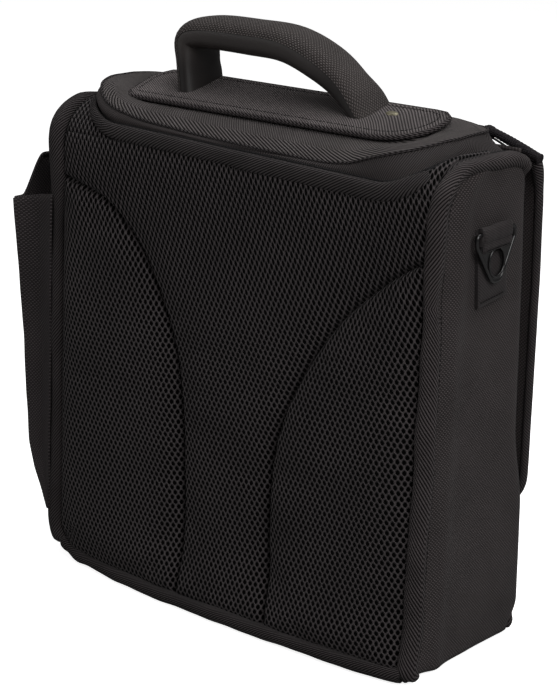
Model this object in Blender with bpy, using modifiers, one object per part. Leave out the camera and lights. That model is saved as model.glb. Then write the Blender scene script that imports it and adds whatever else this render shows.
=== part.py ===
"""Soft carry case for tabletop miniatures.

Frame: X is the width, the padded mesh back faces -Y, the flap faces +Y, Z is up.
The origin is the centre of the base.  Dimensions below are millimetres; MM turns
them into metres where a mesh or a curve is made.  Pieces are laid out with Y = 0
at the mesh back, and the last step moves them all so that the origin is centred.
"""
import math

import bmesh
import bpy
from mathutils import Matrix, Vector

MM = 0.001
CASE_NAME = "miniature_carry_case"

# Driving dimensions of the body.
HALF_WIDTH = 165.0          # outer face of a side panel
HEIGHT = 344.0              # flat top of the side panels
DEPTH_BASE = 120.0          # side panel depth at the base
DEPTH_TOP = 100.0           # side panel depth at its front top corner
FRONT_TOP_Z = 338.0         # height of that corner
TOP_FLAT_END = 82.0         # where the top starts to fall towards the front
BACK_RADIUS = 35.0          # rounded top back edge
CORNER_RADIUS = 8.0
LIFT = 2.3                  # side outline above the floor, so that bindings clear it
GAP = 0.3                   # space between pieces that touch
BASE_MIDDLE = 60.0          # distance from the mesh back to the origin

SIDE_WALL = 4.0
BACK_WALL = 6.0
FRONT_WALL = 5.0
BASE_WALL = 4.0
BINDING_RADIUS = 5.0
BINDING_INSET = 3.0
BINDING_X = HALF_WIDTH - 2.5
PANEL_HALF_WIDTH = BINDING_X - BINDING_RADIUS - GAP
PANEL_INSET = BINDING_INSET + BINDING_RADIUS + GAP

# The zip runs round the opening; S is measured along the outer surface, from the
# top of the rounded back edge towards the front.
ZIP_HALF_WIDTH = 152.0
ZIP_S_BACK = -34.8
ZIP_FRONT_Y = 94.0
ZIP_R_BACK = 38.0
ZIP_R_FRONT = 20.0
ZIP_END_X = 98.5
RIM_WIDTH = 10.5
COIL_WIDTH = 1.4

# Lid.
HINGE_Y = 96.0
HINGE_Z = 353.0
LID_HALF_WIDTH = 145.5
LID_BACK_Y = 8.8
LID_FRONT_Y = 91.0
LID_Z_BACK = 334.0
LID_RISE = 19.5
LID_RISE_RUN = 32.0
DECK_HALF_WIDTH = 122.0
DECK_BACK_Y = 28.0
DECK_FRONT_Y = 76.0
DECK_RADIUS = 21.0
DECK_SLOPE = 0.28
DECK_Z = 345.6              # lid surface under the deck, at DECK_BACK_Y
PLATFORM_THICK = 3.5
PLATFORM_INSET = 1.0
LID_SEAM = 1.2              # gap between the gusset and the panel above it

# Handle.
HANDLE_Y = 58.0
HANDLE_HALF_WIDTH = 18.0
HANDLE_LIFT = 4.0
HANDLE_ROUTE = [            # x, z, thickness
    (-86.0, None, 13.0),
    (-88.5, 375.0, 14.0),
    (-84.0, 387.5, 17.0),
    (-66.0, 395.5, 20.0),
    (-34.0, 398.5, 21.5),
    (0.0, 395.0, 21.0),
    (28.0, 385.5, 19.0),
    (49.0, 372.0, 15.0),
    (62.0, None, 10.0),
]

# Strap tabs and rings.
RING_Y = 61.5
TAB_HALF = 16.5
TAB_THICK = 2.2
BARREL_RADIUS = 5.0
BARREL_BORE = 2.8
BARREL_X = HALF_WIDTH + 5.5
RING_Z_RIGHT = 294.0
RING_Z_LEFT = 325.0
TAB_LENGTH = 46.0
RING_THICK = 3.2

# Side pocket on the left.
POCKET_Y = (-4.0, 84.0)
POCKET_Z = (36.0, 268.0)
POCKET_CREST_Z = 296.0
POCKET_OUT_TOP = 209.0
POCKET_OUT_BASE = 174.0
POCKET_WALL = 2.5
HEM_RADIUS = 1.3

# Flap and front pocket.
FLAP_HINGE_Y = 118.0
FLAP_HINGE_Z = 333.0
FLAP_HALF_WIDTH = 160.0
FLAP_THICK = 3.0
FLAP_PROFILE = [(331.5, 120.0), (307.0, 123.0), (250.0, 127.5), (200.0, 129.3),
                (165.0, 129.5), (130.0, 128.8), (86.0, 127.0)]   # z, outer y
FLAP_CORNER = 26.0
FLAP_BINDING_RADIUS = 2.6
FRONT_POCKET_HALF = 135.0
FRONT_POCKET_Z = (120.0, 284.0)
FRONT_POCKET_THICK = 10.0
FRONT_POCKET_SHEET = 1.5
PATCH_HALF = 26.0
PATCH_Z = (166.0, 190.0)
PATCH_THICK = 2.3
PATCH_X = 85.0

# Contents.
BOARD_THICK = 2.0
TRAY_HALF_WIDTH = 145.0
TRAY_Z = (8.0, 320.0)
TRAYS = {"rear": (12.0, 15.0, 41.0), "front": (42.0, 45.0, 66.0)}   # back, split, front

# Zip slider and its puller.
SLIDER_X = 112.0
SLIDER_SIZE = (12.0, 4.0, 6.0)
SLIDER_AT = (SLIDER_X, 97.2, 348.2)
PULL_PIVOT = (SLIDER_X + 8.0, 102.5, 350.0)
PULL_ROUTE = [(121.5, 102.8, 350.2), (131.0, 104.6, 350.4), (145.0, 105.2, 347.6),
              (158.0, 105.3, 343.4), (171.0, 105.0, 338.9)]
PULL_RADIUS = 2.9
CORD_RADIUS = 0.8
CORD_DROP = 4.6

COLOURS = {
    "air_mesh": ((0.030, 0.030, 0.032), 0.85, 0.0),
    "ballistic_nylon": ((0.026, 0.026, 0.028), 0.70, 0.0),
    "twill_tape": ((0.034, 0.034, 0.036), 0.75, 0.0),
    "vinyl": ((0.030, 0.029, 0.029), 0.45, 0.0),
    "zip_tape": ((0.028, 0.028, 0.030), 0.60, 0.0),
    "zip_coil": ((0.020, 0.020, 0.021), 0.35, 0.0),
    "webbing": ((0.024, 0.024, 0.026), 0.65, 0.0),
    "cast_metal": ((0.020, 0.020, 0.021), 0.30, 0.6),
    "foam": ((0.045, 0.045, 0.048), 0.95, 0.0),
    "board": ((0.050, 0.050, 0.052), 0.50, 0.0),
    "hook_loop": ((0.022, 0.022, 0.024), 0.90, 0.0),
    "rubber": ((0.024, 0.022, 0.023), 0.55, 0.0),
    "brass": ((0.55, 0.45, 0.25), 0.30, 1.0),
}

for old in list(bpy.data.objects):
    bpy.data.objects.remove(old, do_unlink=True)

case = bpy.data.collections.new(CASE_NAME)
cutters = bpy.data.collections.new("cutters")
bpy.context.scene.collection.children.link(case)
bpy.context.scene.collection.children.link(cutters)


# ---------------------------------------------------------------- helpers

def finish_material(name, kind):
    """A material of its own for each piece, with the colour of its kind."""
    colour, rough, metal = COLOURS[kind]
    material = bpy.data.materials.new(name + "_" + kind)
    material.use_nodes = True
    shader = material.node_tree.nodes["Principled BSDF"]
    shader.inputs["Base Color"].default_value = (*colour, 1.0)
    shader.inputs["Roughness"].default_value = rough
    shader.inputs["Metallic"].default_value = metal
    material.diffuse_color = (*colour, 1.0)
    return material


def add_object(name, data, kind=None, target=None):
    obj = bpy.data.objects.new(name, data)
    (target or case).objects.link(obj)
    if kind:
        obj.data.materials.append(finish_material(name, kind))
    return obj


def pivot(name, place):
    """An empty on a joint's axis; moving pieces are its children."""
    empty = bpy.data.objects.new(name, None)
    empty.location = Vector(place) * MM
    case.objects.link(empty)
    return empty


def attach(obj, empty):
    """Parent a piece to an empty without moving it."""
    obj.parent = empty
    obj.matrix_parent_inverse = Matrix.Translation(-empty.location)


def rounded(corners, step=15.0):
    """Outline of a convex polygon whose corners (x, y, radius) are rounded."""
    points = []
    count = len(corners)
    for i in range(count):
        here = Vector(corners[i][:2])
        radius = corners[i][2]
        to_last = (Vector(corners[i - 1][:2]) - here).normalized()
        to_next = (Vector(corners[(i + 1) % count][:2]) - here).normalized()
        half = to_last.angle(to_next) / 2
        if radius <= 0:
            points.append(tuple(here))
            continue
        centre = here + (to_last + to_next).normalized() * radius / math.sin(half)
        start = here + to_last * radius / math.tan(half)
        end = here + to_next * radius / math.tan(half)
        a0 = math.atan2(start.y - centre.y, start.x - centre.x)
        a1 = math.atan2(end.y - centre.y, end.x - centre.x)
        turn = (a1 - a0 + math.pi) % (2 * math.pi) - math.pi
        parts = max(1, round(abs(math.degrees(turn)) / step))
        for k in range(parts + 1):
            angle = a0 + turn * k / parts
            points.append((centre.x + radius * math.cos(angle), centre.y + radius * math.sin(angle)))
    return points


def side_outline(inset, step=15.0):
    """The side panel's outline in (y, z), moved inwards by inset."""
    base = LIFT
    corners = [(0.0, base, CORNER_RADIUS), (0.0, HEIGHT, BACK_RADIUS), (TOP_FLAT_END, HEIGHT, 60.0),
               (DEPTH_TOP, FRONT_TOP_Z, CORNER_RADIUS), (DEPTH_BASE, base, CORNER_RADIUS)]
    count = len(corners)
    centre = Vector((DEPTH_BASE / 2, HEIGHT / 2))
    moved = []
    for i in range(count):
        a = Vector(corners[i][:2])
        b = Vector(corners[(i + 1) % count][:2])
        along = (b - a).normalized()
        normal = Vector((along.y, -along.x))
        if normal.dot(centre - a) < 0:
            normal = -normal
        moved.append((a + normal * inset, along))
    result = []
    for i in range(count):
        p, u = moved[i - 1]
        q, v = moved[i]
        t = ((q - p).x * v.y - (q - p).y * v.x) / (u.x * v.y - u.y * v.x)
        cross = p + u * t
        result.append((cross.x, cross.y, max(corners[i][2] - inset, 1.0)))
    return rounded(result, step)


AXES = {
    "X": Matrix(((0, 0, 1), (1, 0, 0), (0, 1, 0))),
    "Y": Matrix(((1, 0, 0), (0, 0, -1), (0, 1, 0))),
    "Z": Matrix(((1, 0, 0), (0, 1, 0), (0, 0, 1))),
}


def prism(name, kind, outlines, axis, low, high, target=None):
    """Flat outline, with holes after it, extruded along an axis from low to high."""
    data = bpy.data.curves.new(name, "CURVE")
    data.dimensions = "2D"
    data.fill_mode = "BOTH"
    data.extrude = (high - low) / 2 * MM
    for outline in outlines:
        spline = data.splines.new("POLY")
        spline.points.add(len(outline) - 1)
        spline.use_cyclic_u = True
        for point, (a, b) in zip(spline.points, outline):
            point.co = (a * MM, b * MM, 0.0, 1.0)
    obj = add_object(name, data, kind, target)
    turn = AXES[axis].to_4x4()
    middle = (low + high) / 2 * MM
    obj.matrix_world = Matrix.Translation(turn @ Vector((0, 0, middle)) * (-1 if axis == "Y" else 1)) @ turn
    return obj


def box(name, kind, x, y, z, target=None):
    """Box between the given limits, from a cube."""
    mesh = bpy.data.meshes.new(name)
    shape = bmesh.new()
    bmesh.ops.create_cube(shape, size=1.0)
    size = Vector((x[1] - x[0], y[1] - y[0], z[1] - z[0])) * MM
    bmesh.ops.scale(shape, vec=size, verts=shape.verts)
    shape.to_mesh(mesh)
    shape.free()
    obj = add_object(name, mesh, kind, target)
    obj.location = Vector((x[0] + x[1], y[0] + y[1], z[0] + z[1])) * MM / 2
    return obj


def loft(name, kind, rings, closed=False, target=None):
    """Skin over rings of points; open lofts are capped, closed ones join end to end."""
    mesh = bpy.data.meshes.new(name)
    shape = bmesh.new()
    rows = [[shape.verts.new(Vector(p) * MM) for p in ring] for ring in rings]
    count = len(rows[0])
    spans = len(rows) if closed else len(rows) - 1
    for i in range(spans):
        a, b = rows[i], rows[(i + 1) % len(rows)]
        for k in range(count):
            shape.faces.new((a[k], a[(k + 1) % count], b[(k + 1) % count], b[k]))
    if not closed:
        shape.faces.new(rows[0])
        shape.faces.new(reversed(rows[-1]))
    bmesh.ops.recalc_face_normals(shape, faces=shape.faces)
    shape.to_mesh(mesh)
    shape.free()
    return add_object(name, mesh, kind, target)


def tube(name, kind, points, radius, cyclic=False):
    """Round tape or cord along points."""
    data = bpy.data.curves.new(name, "CURVE")
    data.dimensions = "3D"
    data.bevel_depth = radius * MM
    data.bevel_resolution = 2
    data.use_fill_caps = True
    spline = data.splines.new("POLY")
    spline.points.add(len(points) - 1)
    spline.use_cyclic_u = cyclic
    for point, place in zip(spline.points, points):
        point.co = (*(Vector(place) * MM), 1.0)
    return add_object(name, data, kind)


def cylinder(name, kind, radius, length, axis, place, segments=24, target=None):
    """Cylinder centred on place along an axis."""
    mesh = bpy.data.meshes.new(name)
    shape = bmesh.new()
    bmesh.ops.create_cone(shape, cap_ends=True, segments=segments, radius1=radius * MM,
                          radius2=radius * MM, depth=length * MM)
    turn = Vector((0, 0, 1)).rotation_difference(Vector(axis)).to_matrix().to_4x4()
    bmesh.ops.transform(shape, matrix=turn, verts=shape.verts)
    shape.to_mesh(mesh)
    shape.free()
    obj = add_object(name, mesh, kind, target)
    obj.location = Vector(place) * MM
    return obj


def combine(obj, tool, operation):
    """Cut, join or intersect an object with a tool that stays in the cutters."""
    tool.display_type = "WIRE"
    tool.hide_render = True
    change = obj.modifiers.new(operation.lower(), "BOOLEAN")
    change.operation = operation
    change.object = tool
    return obj


def to_mesh(obj):
    """Replace a curve object by a welded mesh object with the same name and place."""
    bpy.context.view_layer.update()
    graph = bpy.context.evaluated_depsgraph_get()
    mesh = bpy.data.meshes.new_from_object(obj.evaluated_get(graph))
    shape = bmesh.new()
    shape.from_mesh(mesh)
    bmesh.ops.remove_doubles(shape, verts=shape.verts, dist=0.01 * MM)
    shape.to_mesh(mesh)
    shape.free()
    name = obj.name
    matrix = obj.matrix_world.copy()
    group = obj.users_collection[0]
    bpy.data.objects.remove(obj, do_unlink=True)
    solid = bpy.data.objects.new(name, mesh)
    solid.matrix_world = matrix
    group.objects.link(solid)
    return solid


def smooth_step(value):
    value = min(max(value, 0.0), 1.0)
    return value * value * (3 - 2 * value)


def table(rows, value):
    """Straight interpolation in rows of (key, result), keys falling or rising."""
    ordered = sorted(rows)
    if value <= ordered[0][0]:
        return ordered[0][1]
    for (a, fa), (b, fb) in zip(ordered, ordered[1:]):
        if value <= b:
            return fa + (fb - fa) * (value - a) / (b - a)
    return ordered[-1][1]


def spline_through(points, parts):
    """Catmull-Rom curve through points of any dimension."""
    ends = [2 * Vector(points[0]) - Vector(points[1])]
    route = ends + [Vector(p) for p in points] + [2 * Vector(points[-1]) - Vector(points[-2])]
    result = []
    for i in range(1, len(route) - 2):
        p0, p1, p2, p3 = route[i - 1:i + 3]
        for k in range(parts):
            t = k / parts
            result.append(0.5 * (2 * p1 + (p2 - p0) * t + (2 * p0 - 5 * p1 + 4 * p2 - p3) * t ** 2
                                 + (3 * p1 - p0 - 3 * p2 + p3) * t ** 3))
    result.append(route[-2])
    return result


# ---------------------------------------------------------------- outer surface

TOP_FALL = math.atan2(HEIGHT - FRONT_TOP_Z, DEPTH_TOP - TOP_FLAT_END)
S_FLAT = TOP_FLAT_END - BACK_RADIUS
ZIP_S_FRONT = S_FLAT + (ZIP_FRONT_Y - TOP_FLAT_END) / math.cos(TOP_FALL)
QUARTER = BACK_RADIUS * math.pi / 2


def skin(x, s, h=0.0):
    """Point at x and surface distance s, standing h above the outer surface."""
    if s > S_FLAT:
        run = s - S_FLAT
        return (x, TOP_FLAT_END + run * math.cos(TOP_FALL) + h * math.sin(TOP_FALL),
                HEIGHT - run * math.sin(TOP_FALL) + h * math.cos(TOP_FALL))
    if s >= 0:
        return (x, BACK_RADIUS + s, HEIGHT + h)
    if s > -QUARTER:
        angle = -s / BACK_RADIUS
        return (x, BACK_RADIUS - (BACK_RADIUS + h) * math.sin(angle),
                HEIGHT - BACK_RADIUS + (BACK_RADIUS + h) * math.cos(angle))
    return (x, -h, HEIGHT - BACK_RADIUS + s + QUARTER)


def loop_path(half_width, back, front, r_back, r_front, parts=6):
    """Open loop in (x, s) from the left zip end round the back to the right one."""
    right = [(ZIP_END_X, front), (half_width - r_front, front)]
    for k in range(1, parts + 1):
        angle = math.radians(90 - 90 * k / parts)
        right.append((half_width - r_front + r_front * math.cos(angle),
                      front - r_front + r_front * math.sin(angle)))
    for k in range(parts + 1):
        angle = math.radians(-90 * k / parts)
        right.append((half_width - r_back + r_back * math.cos(angle),
                      back + r_back + r_back * math.sin(angle)))
    middle = [(half_width - r_back) * k / 3 for k in (2, 1)]
    right += [(x, back) for x in middle]
    left = [(-x, s) for x, s in right]
    return left + [(0.0, back)] + right[::-1]


def zip_path(offset):
    """The zip line moved outwards by offset, in (x, s)."""
    return loop_path(ZIP_HALF_WIDTH + offset, ZIP_S_BACK - offset, ZIP_S_FRONT + offset,
                     ZIP_R_BACK + offset, ZIP_R_FRONT + offset)


def strip(name, kind, inner, outer, low, high):
    """Band between two (x, s) paths, from low to high above the outer surface."""
    rings = [[skin(*a, low), skin(*a, high), skin(*b, high), skin(*b, low)] for a, b in zip(inner, outer)]
    return loft(name, kind, rings)


# ---------------------------------------------------------------- body

def make_sides():
    for side, sign in (("left", -1), ("right", 1)):
        faces = sorted((sign * HALF_WIDTH, sign * (HALF_WIDTH - SIDE_WALL)))
        prism("side_panel_" + side, "ballistic_nylon", [side_outline(PANEL_INSET)], "X", *faces)
        loop = [(sign * BINDING_X, y, z) for y, z in side_outline(BINDING_INSET, 12.0)]
        tube("side_binding_" + side, "twill_tape", loop, BINDING_RADIUS, cyclic=True)


def front_y(z):
    """Outer face of the front panel."""
    return DEPTH_BASE + (DEPTH_TOP - DEPTH_BASE) * (z - LIFT) / (FRONT_TOP_Z - LIFT)


def make_walls():
    width = (-PANEL_HALF_WIDTH, PANEL_HALF_WIDTH)
    floor = 2 * BINDING_RADIUS + 0.2 + GAP
    rim_edge = ZIP_S_BACK - RIM_WIDTH - 1.9 - GAP
    heights = [floor - (HEIGHT - BACK_RADIUS) - QUARTER, -QUARTER]
    heights += [-QUARTER + (rim_edge + QUARTER) * k / 3 for k in (1, 2, 3)]
    outer = [skin(0, s)[1:] for s in heights]
    inner = [skin(0, s, -BACK_WALL)[1:] for s in reversed(heights)]
    prism("back_panel", "air_mesh", [outer + inner], "X", *width)

    top = FRONT_TOP_Z - 5.0
    slab = [(front_y(floor), floor), (front_y(top), top), (front_y(top) - FRONT_WALL, top),
            (front_y(floor) - FRONT_WALL, floor)]
    prism("front_panel", "ballistic_nylon", [slab], "X", *width)

    box("bottom_panel", "ballistic_nylon", width, (PANEL_INSET, DEPTH_BASE - PANEL_INSET), (0, BASE_WALL))
    for name, y in (("bottom_binding_back", BINDING_INSET), ("bottom_binding_front", DEPTH_BASE - BINDING_INSET)):
        ends = [(x, y, BINDING_RADIUS + 0.2) for x in width]
        tube(name, "twill_tape", ends, BINDING_RADIUS)


def make_back_pads():
    """Lumbar pads: two outer ones with bowed inner edges and one between them."""
    low, high, crest = 16.0, 286.0, 316.0
    face, depth = -GAP, 8.0
    edge = 150.0

    waist, waist_z = 40.0, 100.0

    def bowed(z):
        """Half width of the middle pad: a waist below, and a quarter ellipse that flares above it."""
        share = max(z - waist_z, 0.0) / (high - waist_z)
        return edge - (edge - waist) * math.sqrt(1 - share ** 2)

    steps = [low, waist_z] + [waist_z + (high - waist_z) * math.sin(math.pi / 2 * k / 9) for k in range(1, 10)]
    for side, sign in (("left", -1), ("right", 1)):
        outline = [(sign * (bowed(z) + 2), max(z - 5, low)) for z in steps if bowed(z) + 2 < edge - 4]
        outline += [(sign * edge, outline[-1][1] + 3), (sign * edge, low)]
        pad("lumbar_pad_" + side, outline, face, depth)
    middle = [(bowed(z) - 2, z) for z in steps]
    outline = middle + [(edge, crest - 10), (edge - 12, crest), (-edge + 12, crest), (-edge, crest - 10)]
    outline += [(-x, z) for x, z in reversed(middle)]
    pad("lumbar_pad_middle", outline, face, 5.0)


def pad(name, outline, face, depth):
    """Crowned pad: an outline that shrinks as it rises towards -Y."""
    centre = Vector((sum(p[0] for p in outline), sum(p[1] for p in outline))) / len(outline)
    rings = []
    for rise, shrink in ((0.0, 1.0), (0.6, 0.985), (0.92, 0.95), (1.0, 0.90)):
        ring = [centre + (Vector(p) - centre) * shrink for p in outline]
        rings.append([(p.x, face - depth * rise, p.y) for p in ring])
    return loft(name, "air_mesh", rings)


def make_opening():
    strip("opening_rim", "twill_tape", zip_path(1.9),
          loop_path(PANEL_HALF_WIDTH, ZIP_S_BACK - 1.9 - RIM_WIDTH, ZIP_S_FRONT + 6.0, ZIP_R_BACK + 5.0,
                    ZIP_R_FRONT + 4.0), -3.0, 0.8)
    strip("zip_coil_body", "zip_coil", zip_path(0.2), zip_path(0.2 + COIL_WIDTH), -0.6, 0.9)
    reach = ZIP_END_X - 2.0
    box("lid_hinge_wall", "ballistic_nylon", (-reach, reach), (HINGE_Y - 1.2, HINGE_Y + 1.8),
        (336.0, HINGE_Z - 1.0))
    back = skin(0, ZIP_S_FRONT + 6.0 + GAP + 0.6)
    front = (FLAP_HINGE_Y - 0.8, FLAP_HINGE_Z + 1.4)
    yoke = [(back[1], back[2]), front, (front[0] - 0.6, front[1] - 3.0), (back[1], back[2] - 3.4)]
    prism("flap_yoke", "ballistic_nylon", [yoke], "X", -PANEL_HALF_WIDTH, PANEL_HALF_WIDTH)


def make_boards():
    box("back_board", "board", (-148, 148), (BACK_WALL + GAP, BACK_WALL + GAP + BOARD_THICK), (14, 298))
    base = BASE_WALL + GAP
    box("base_board", "board", (-150, 150), (11, 108), (base, base + BOARD_THICK))


def make_trays():
    width = (-TRAY_HALF_WIDTH, TRAY_HALF_WIDTH)
    for name, (back, split, front) in TRAYS.items():
        box("tray_base_" + name, "foam", width, (back, split), TRAY_Z)
        box("tray_foam_" + name, "foam", width, (split + GAP, front), TRAY_Z)


# ---------------------------------------------------------------- strap tabs and rings

def make_strap_tab(side, sign, height):
    """Webbing tab sewn to the side, with a rolled eye for the ring's bar."""
    inner = HALF_WIDTH + 0.4
    plate_x = sorted((sign * inner, sign * (inner + TAB_THICK)))
    tab = box("strap_tab_" + side, "webbing", plate_x, (RING_Y - TAB_HALF, RING_Y + TAB_HALF),
              (height - TAB_LENGTH, height))
    centre = (sign * BARREL_X, RING_Y, height)
    roll = cylinder("tab_roll_" + side, None, BARREL_RADIUS, 2 * TAB_HALF, (0, 1, 0), centre, target=cutters)
    eye = cylinder("tab_eye_" + side, None, BARREL_BORE, 60.0, (0, 1, 0), centre, target=cutters)
    combine(tab, roll, "UNION")
    combine(tab, eye, "DIFFERENCE")


def make_ring(side, sign, height):
    """Cast triangular ring: a bar in the tab's eye, a strap slot and a round hole."""
    axis = pivot("ring_pivot_" + side, (sign * BARREL_X, RING_Y, height))
    outline = rounded([(-21.8, 1.9, 4.0), (21.8, 1.9, 4.0), (21.8, -9.0, 4.0), (5.5, -35.5, 6.0),
                       (-5.5, -35.5, 6.0), (-21.8, -9.0, 4.0)], 30.0)
    slot = rounded([(-17.6, -1.9, 1.0), (17.6, -1.9, 1.0), (17.6, -6.2, 1.5), (-17.6, -6.2, 1.5)], 45.0)
    hole = [(9.0 * math.cos(k * math.pi / 10), -20.0 + 9.0 * math.sin(k * math.pi / 10)) for k in range(20)]
    middle = sign * BARREL_X
    ring = prism("strap_ring_" + side, "cast_metal",
                 [[(RING_Y + a, height + b) for a, b in shape] for shape in (outline, slot, hole)],
                 "X", middle - RING_THICK / 2, middle + RING_THICK / 2)
    bpy.context.view_layer.update()
    attach(ring, axis)


# ---------------------------------------------------------------- side pocket

def pocket_crest(y):
    """Height of the pocket's outer edge: low at its gussets, high between them."""
    reach = min(y - POCKET_Y[0], POCKET_Y[1] - y)
    return POCKET_Z[1] + (POCKET_CREST_Z - POCKET_Z[1]) * smooth_step((reach - 9.0) / 26.0)


def pocket_x(z):
    """Outer face of the pocket: a wedge that opens towards its mouth."""
    share = (z - POCKET_Z[0]) / (POCKET_Z[1] - POCKET_Z[0])
    return -(POCKET_OUT_BASE + (POCKET_OUT_TOP - POCKET_OUT_BASE) * min(share, 1.0) ** 0.75)


def make_side_pocket():
    heights = [POCKET_Z[0], 60.0, 110.0, 170.0, POCKET_Z[1], POCKET_CREST_Z + 2]
    inner_x = -BINDING_X - BINDING_RADIUS - GAP

    def shell(inset, floor, near_x):
        y0, y1 = POCKET_Y[0] + inset, POCKET_Y[1] - inset
        rings = []
        for z in heights:
            x = pocket_x(z) + inset
            rings.append([(x, y0, max(z, floor)), (near_x, y0, max(z, floor)),
                          (near_x, y1, max(z, floor)), (x, y1, max(z, floor))])
        return rings

    pocket = loft("side_pocket", "ballistic_nylon", shell(0.0, 0.0, inner_x))
    hollow_rings = shell(POCKET_WALL, POCKET_Z[0] + POCKET_WALL, inner_x + 20.0)
    hollow_rings.append([(x, y, z + 20.0) for x, y, z in hollow_rings[-1]])
    combine(pocket, loft("pocket_hollow", None, hollow_rings, target=cutters), "DIFFERENCE")
    reach = [POCKET_Y[0] + 1 + (POCKET_Y[1] - POCKET_Y[0] - 2) * k / 16 for k in range(17)]
    outline = [(POCKET_Y[0] - 5, 0.0), (POCKET_Y[1] + 5, 0.0), (POCKET_Y[1] + 5, POCKET_Z[1])]
    outline += [(y, pocket_crest(y)) for y in reversed(reach)] + [(POCKET_Y[0] - 5, POCKET_Z[1])]
    mouth = to_mesh(prism("pocket_mouth", None, [outline], "X", -240.0, -150.0, target=cutters))
    combine(pocket, mouth, "INTERSECT")
    hem_x = -POCKET_OUT_TOP + POCKET_WALL / 2
    hem = []
    for y in reach[1:-1]:
        rise = pocket_crest(y + 0.5) - pocket_crest(y - 0.5)
        out = Vector((-rise, 1.0)).normalized() * (HEM_RADIUS + 2 * GAP)
        hem.append((hem_x, y + out.x, pocket_crest(y) + out.y))
    tube("pocket_hem", "twill_tape", hem, HEM_RADIUS)


# ---------------------------------------------------------------- front pocket and flap

def make_front_pocket():
    """Flat pocket on the front panel: an outer sheet on a U-shaped gusset strip."""
    z0, z1 = FRONT_POCKET_Z
    half = FRONT_POCKET_HALF
    sheet = FRONT_POCKET_THICK - FRONT_POCKET_SHEET

    def slab(name, kind, low, high, back, front, reach, target=None):
        rings = []
        for z in (low, high):
            corners = ((-reach, back), (reach, back), (reach, front), (-reach, front))
            rings.append([(x, front_y(z) + y, z) for x, y in corners])
        return loft(name, kind, rings, target=target)

    slab("front_pocket", "ballistic_nylon", z0, z1, sheet, FRONT_POCKET_THICK, half)
    gusset = slab("front_pocket_gusset", "ballistic_nylon", z0, z1, GAP, sheet - GAP, half)
    hollow = slab("front_pocket_hollow", None, z0 + 3, z1 + 20, -5.0, sheet + 5.0, half - 3, cutters)
    combine(gusset, hollow, "DIFFERENCE")
    hem_y = front_y(z1) + FRONT_POCKET_THICK
    box("front_pocket_hem", "twill_tape", (-half, half), (hem_y - 1.8, hem_y), (z1 + GAP, z1 + 4.0))
    for side, sign in (("left", -1), ("right", 1)):
        ends = (sign * PATCH_X - PATCH_HALF, sign * PATCH_X + PATCH_HALF)
        face = [front_y(z) + FRONT_POCKET_THICK + GAP for z in PATCH_Z]
        rings = [[(x, f + y, z) for x, y in ((ends[0], 0), (ends[1], 0), (ends[1], PATCH_THICK), (ends[0], PATCH_THICK))]
                 for f, z in zip(face, PATCH_Z)]
        loft("loop_patch_" + side, "hook_loop", rings)


def flap_y(z):
    """Outer face of the hanging flap."""
    return table(FLAP_PROFILE, z)


def flap_half(z, reach):
    """Half width of the flap, drawn in by a round at its lower corners."""
    drop = FLAP_CORNER - (z - FLAP_PROFILE[-1][0])
    if drop <= 0:
        return reach
    return reach - FLAP_CORNER + math.sqrt(max(FLAP_CORNER ** 2 - drop ** 2, 0.0))


def make_flap():
    axis = pivot("flap_pivot", (0.0, FLAP_HINGE_Y, FLAP_HINGE_Z))
    low = FLAP_PROFILE[-1][0]
    bend = [low + FLAP_CORNER * (1 - math.cos(math.radians(a))) for a in (0, 20, 40, 60, 75, 90)]
    heights = sorted(bend + [z for z, _ in FLAP_PROFILE if z > bend[-1] + 1])
    rings = []
    for z in heights:
        half = flap_half(z, FLAP_HALF_WIDTH)
        y = flap_y(z)
        rings.append([(-half, y - FLAP_THICK, z), (half, y - FLAP_THICK, z), (half, y, z), (-half, y, z)])
    panel = loft("flap_panel", "ballistic_nylon", rings)
    clear = FLAP_BINDING_RADIUS + GAP
    right = [(flap_half(z, FLAP_HALF_WIDTH) + clear, flap_y(z) - FLAP_THICK / 2, z) for z in heights[1:]]
    base = [(FLAP_HALF_WIDTH - FLAP_CORNER - 2, flap_y(low) - FLAP_THICK / 2, low - clear)]
    corner = []
    for a in (15, 35, 55, 75):
        turn = math.radians(a)
        x = FLAP_HALF_WIDTH - FLAP_CORNER + (FLAP_CORNER + clear) * math.sin(turn)
        z = low + FLAP_CORNER - (FLAP_CORNER + clear) * math.cos(turn)
        corner.append((x, flap_y(z) - FLAP_THICK / 2, z))
    straight = [p for p in right if p[2] > low + FLAP_CORNER - 1]
    half_loop = base + corner + straight
    loop = [(-x, y, z) for x, y, z in reversed(half_loop)] + half_loop
    binding = tube("flap_binding", "twill_tape", loop, FLAP_BINDING_RADIUS)
    pieces = [panel, binding]
    for side, sign in (("left", -1), ("right", 1)):
        ends = (sign * PATCH_X - PATCH_HALF, sign * PATCH_X + PATCH_HALF)
        rings = []
        for z in PATCH_Z:
            y = flap_y(z) - FLAP_THICK - GAP
            rings.append([(ends[0], y - PATCH_THICK, z), (ends[1], y - PATCH_THICK, z), (ends[1], y, z), (ends[0], y, z)])
        pieces.append(loft("hook_patch_" + side, "hook_loop", rings))
    bpy.context.view_layer.update()
    for piece in pieces:
        attach(piece, axis)


# ---------------------------------------------------------------- lid

def lid_z(y):
    """Height of the lid's upper edge, which climbs from the back to the sides."""
    return LID_Z_BACK + LID_RISE * smooth_step((y - LID_BACK_Y) / LID_RISE_RUN)


def deck_z(y):
    """Sloping plane that carries the handle platform."""
    return DECK_Z + DECK_SLOPE * (y - DECK_BACK_Y)


def lid_ring(inset, rise):
    """The lid's upper edge in plan, moved inwards by inset."""
    path = loop_path(LID_HALF_WIDTH - inset, LID_BACK_Y + inset, LID_FRONT_Y - inset, 34.0 - inset, 18.0 - inset)
    return [(x, y, lid_z(y) + rise) for x, y in path]


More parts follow.
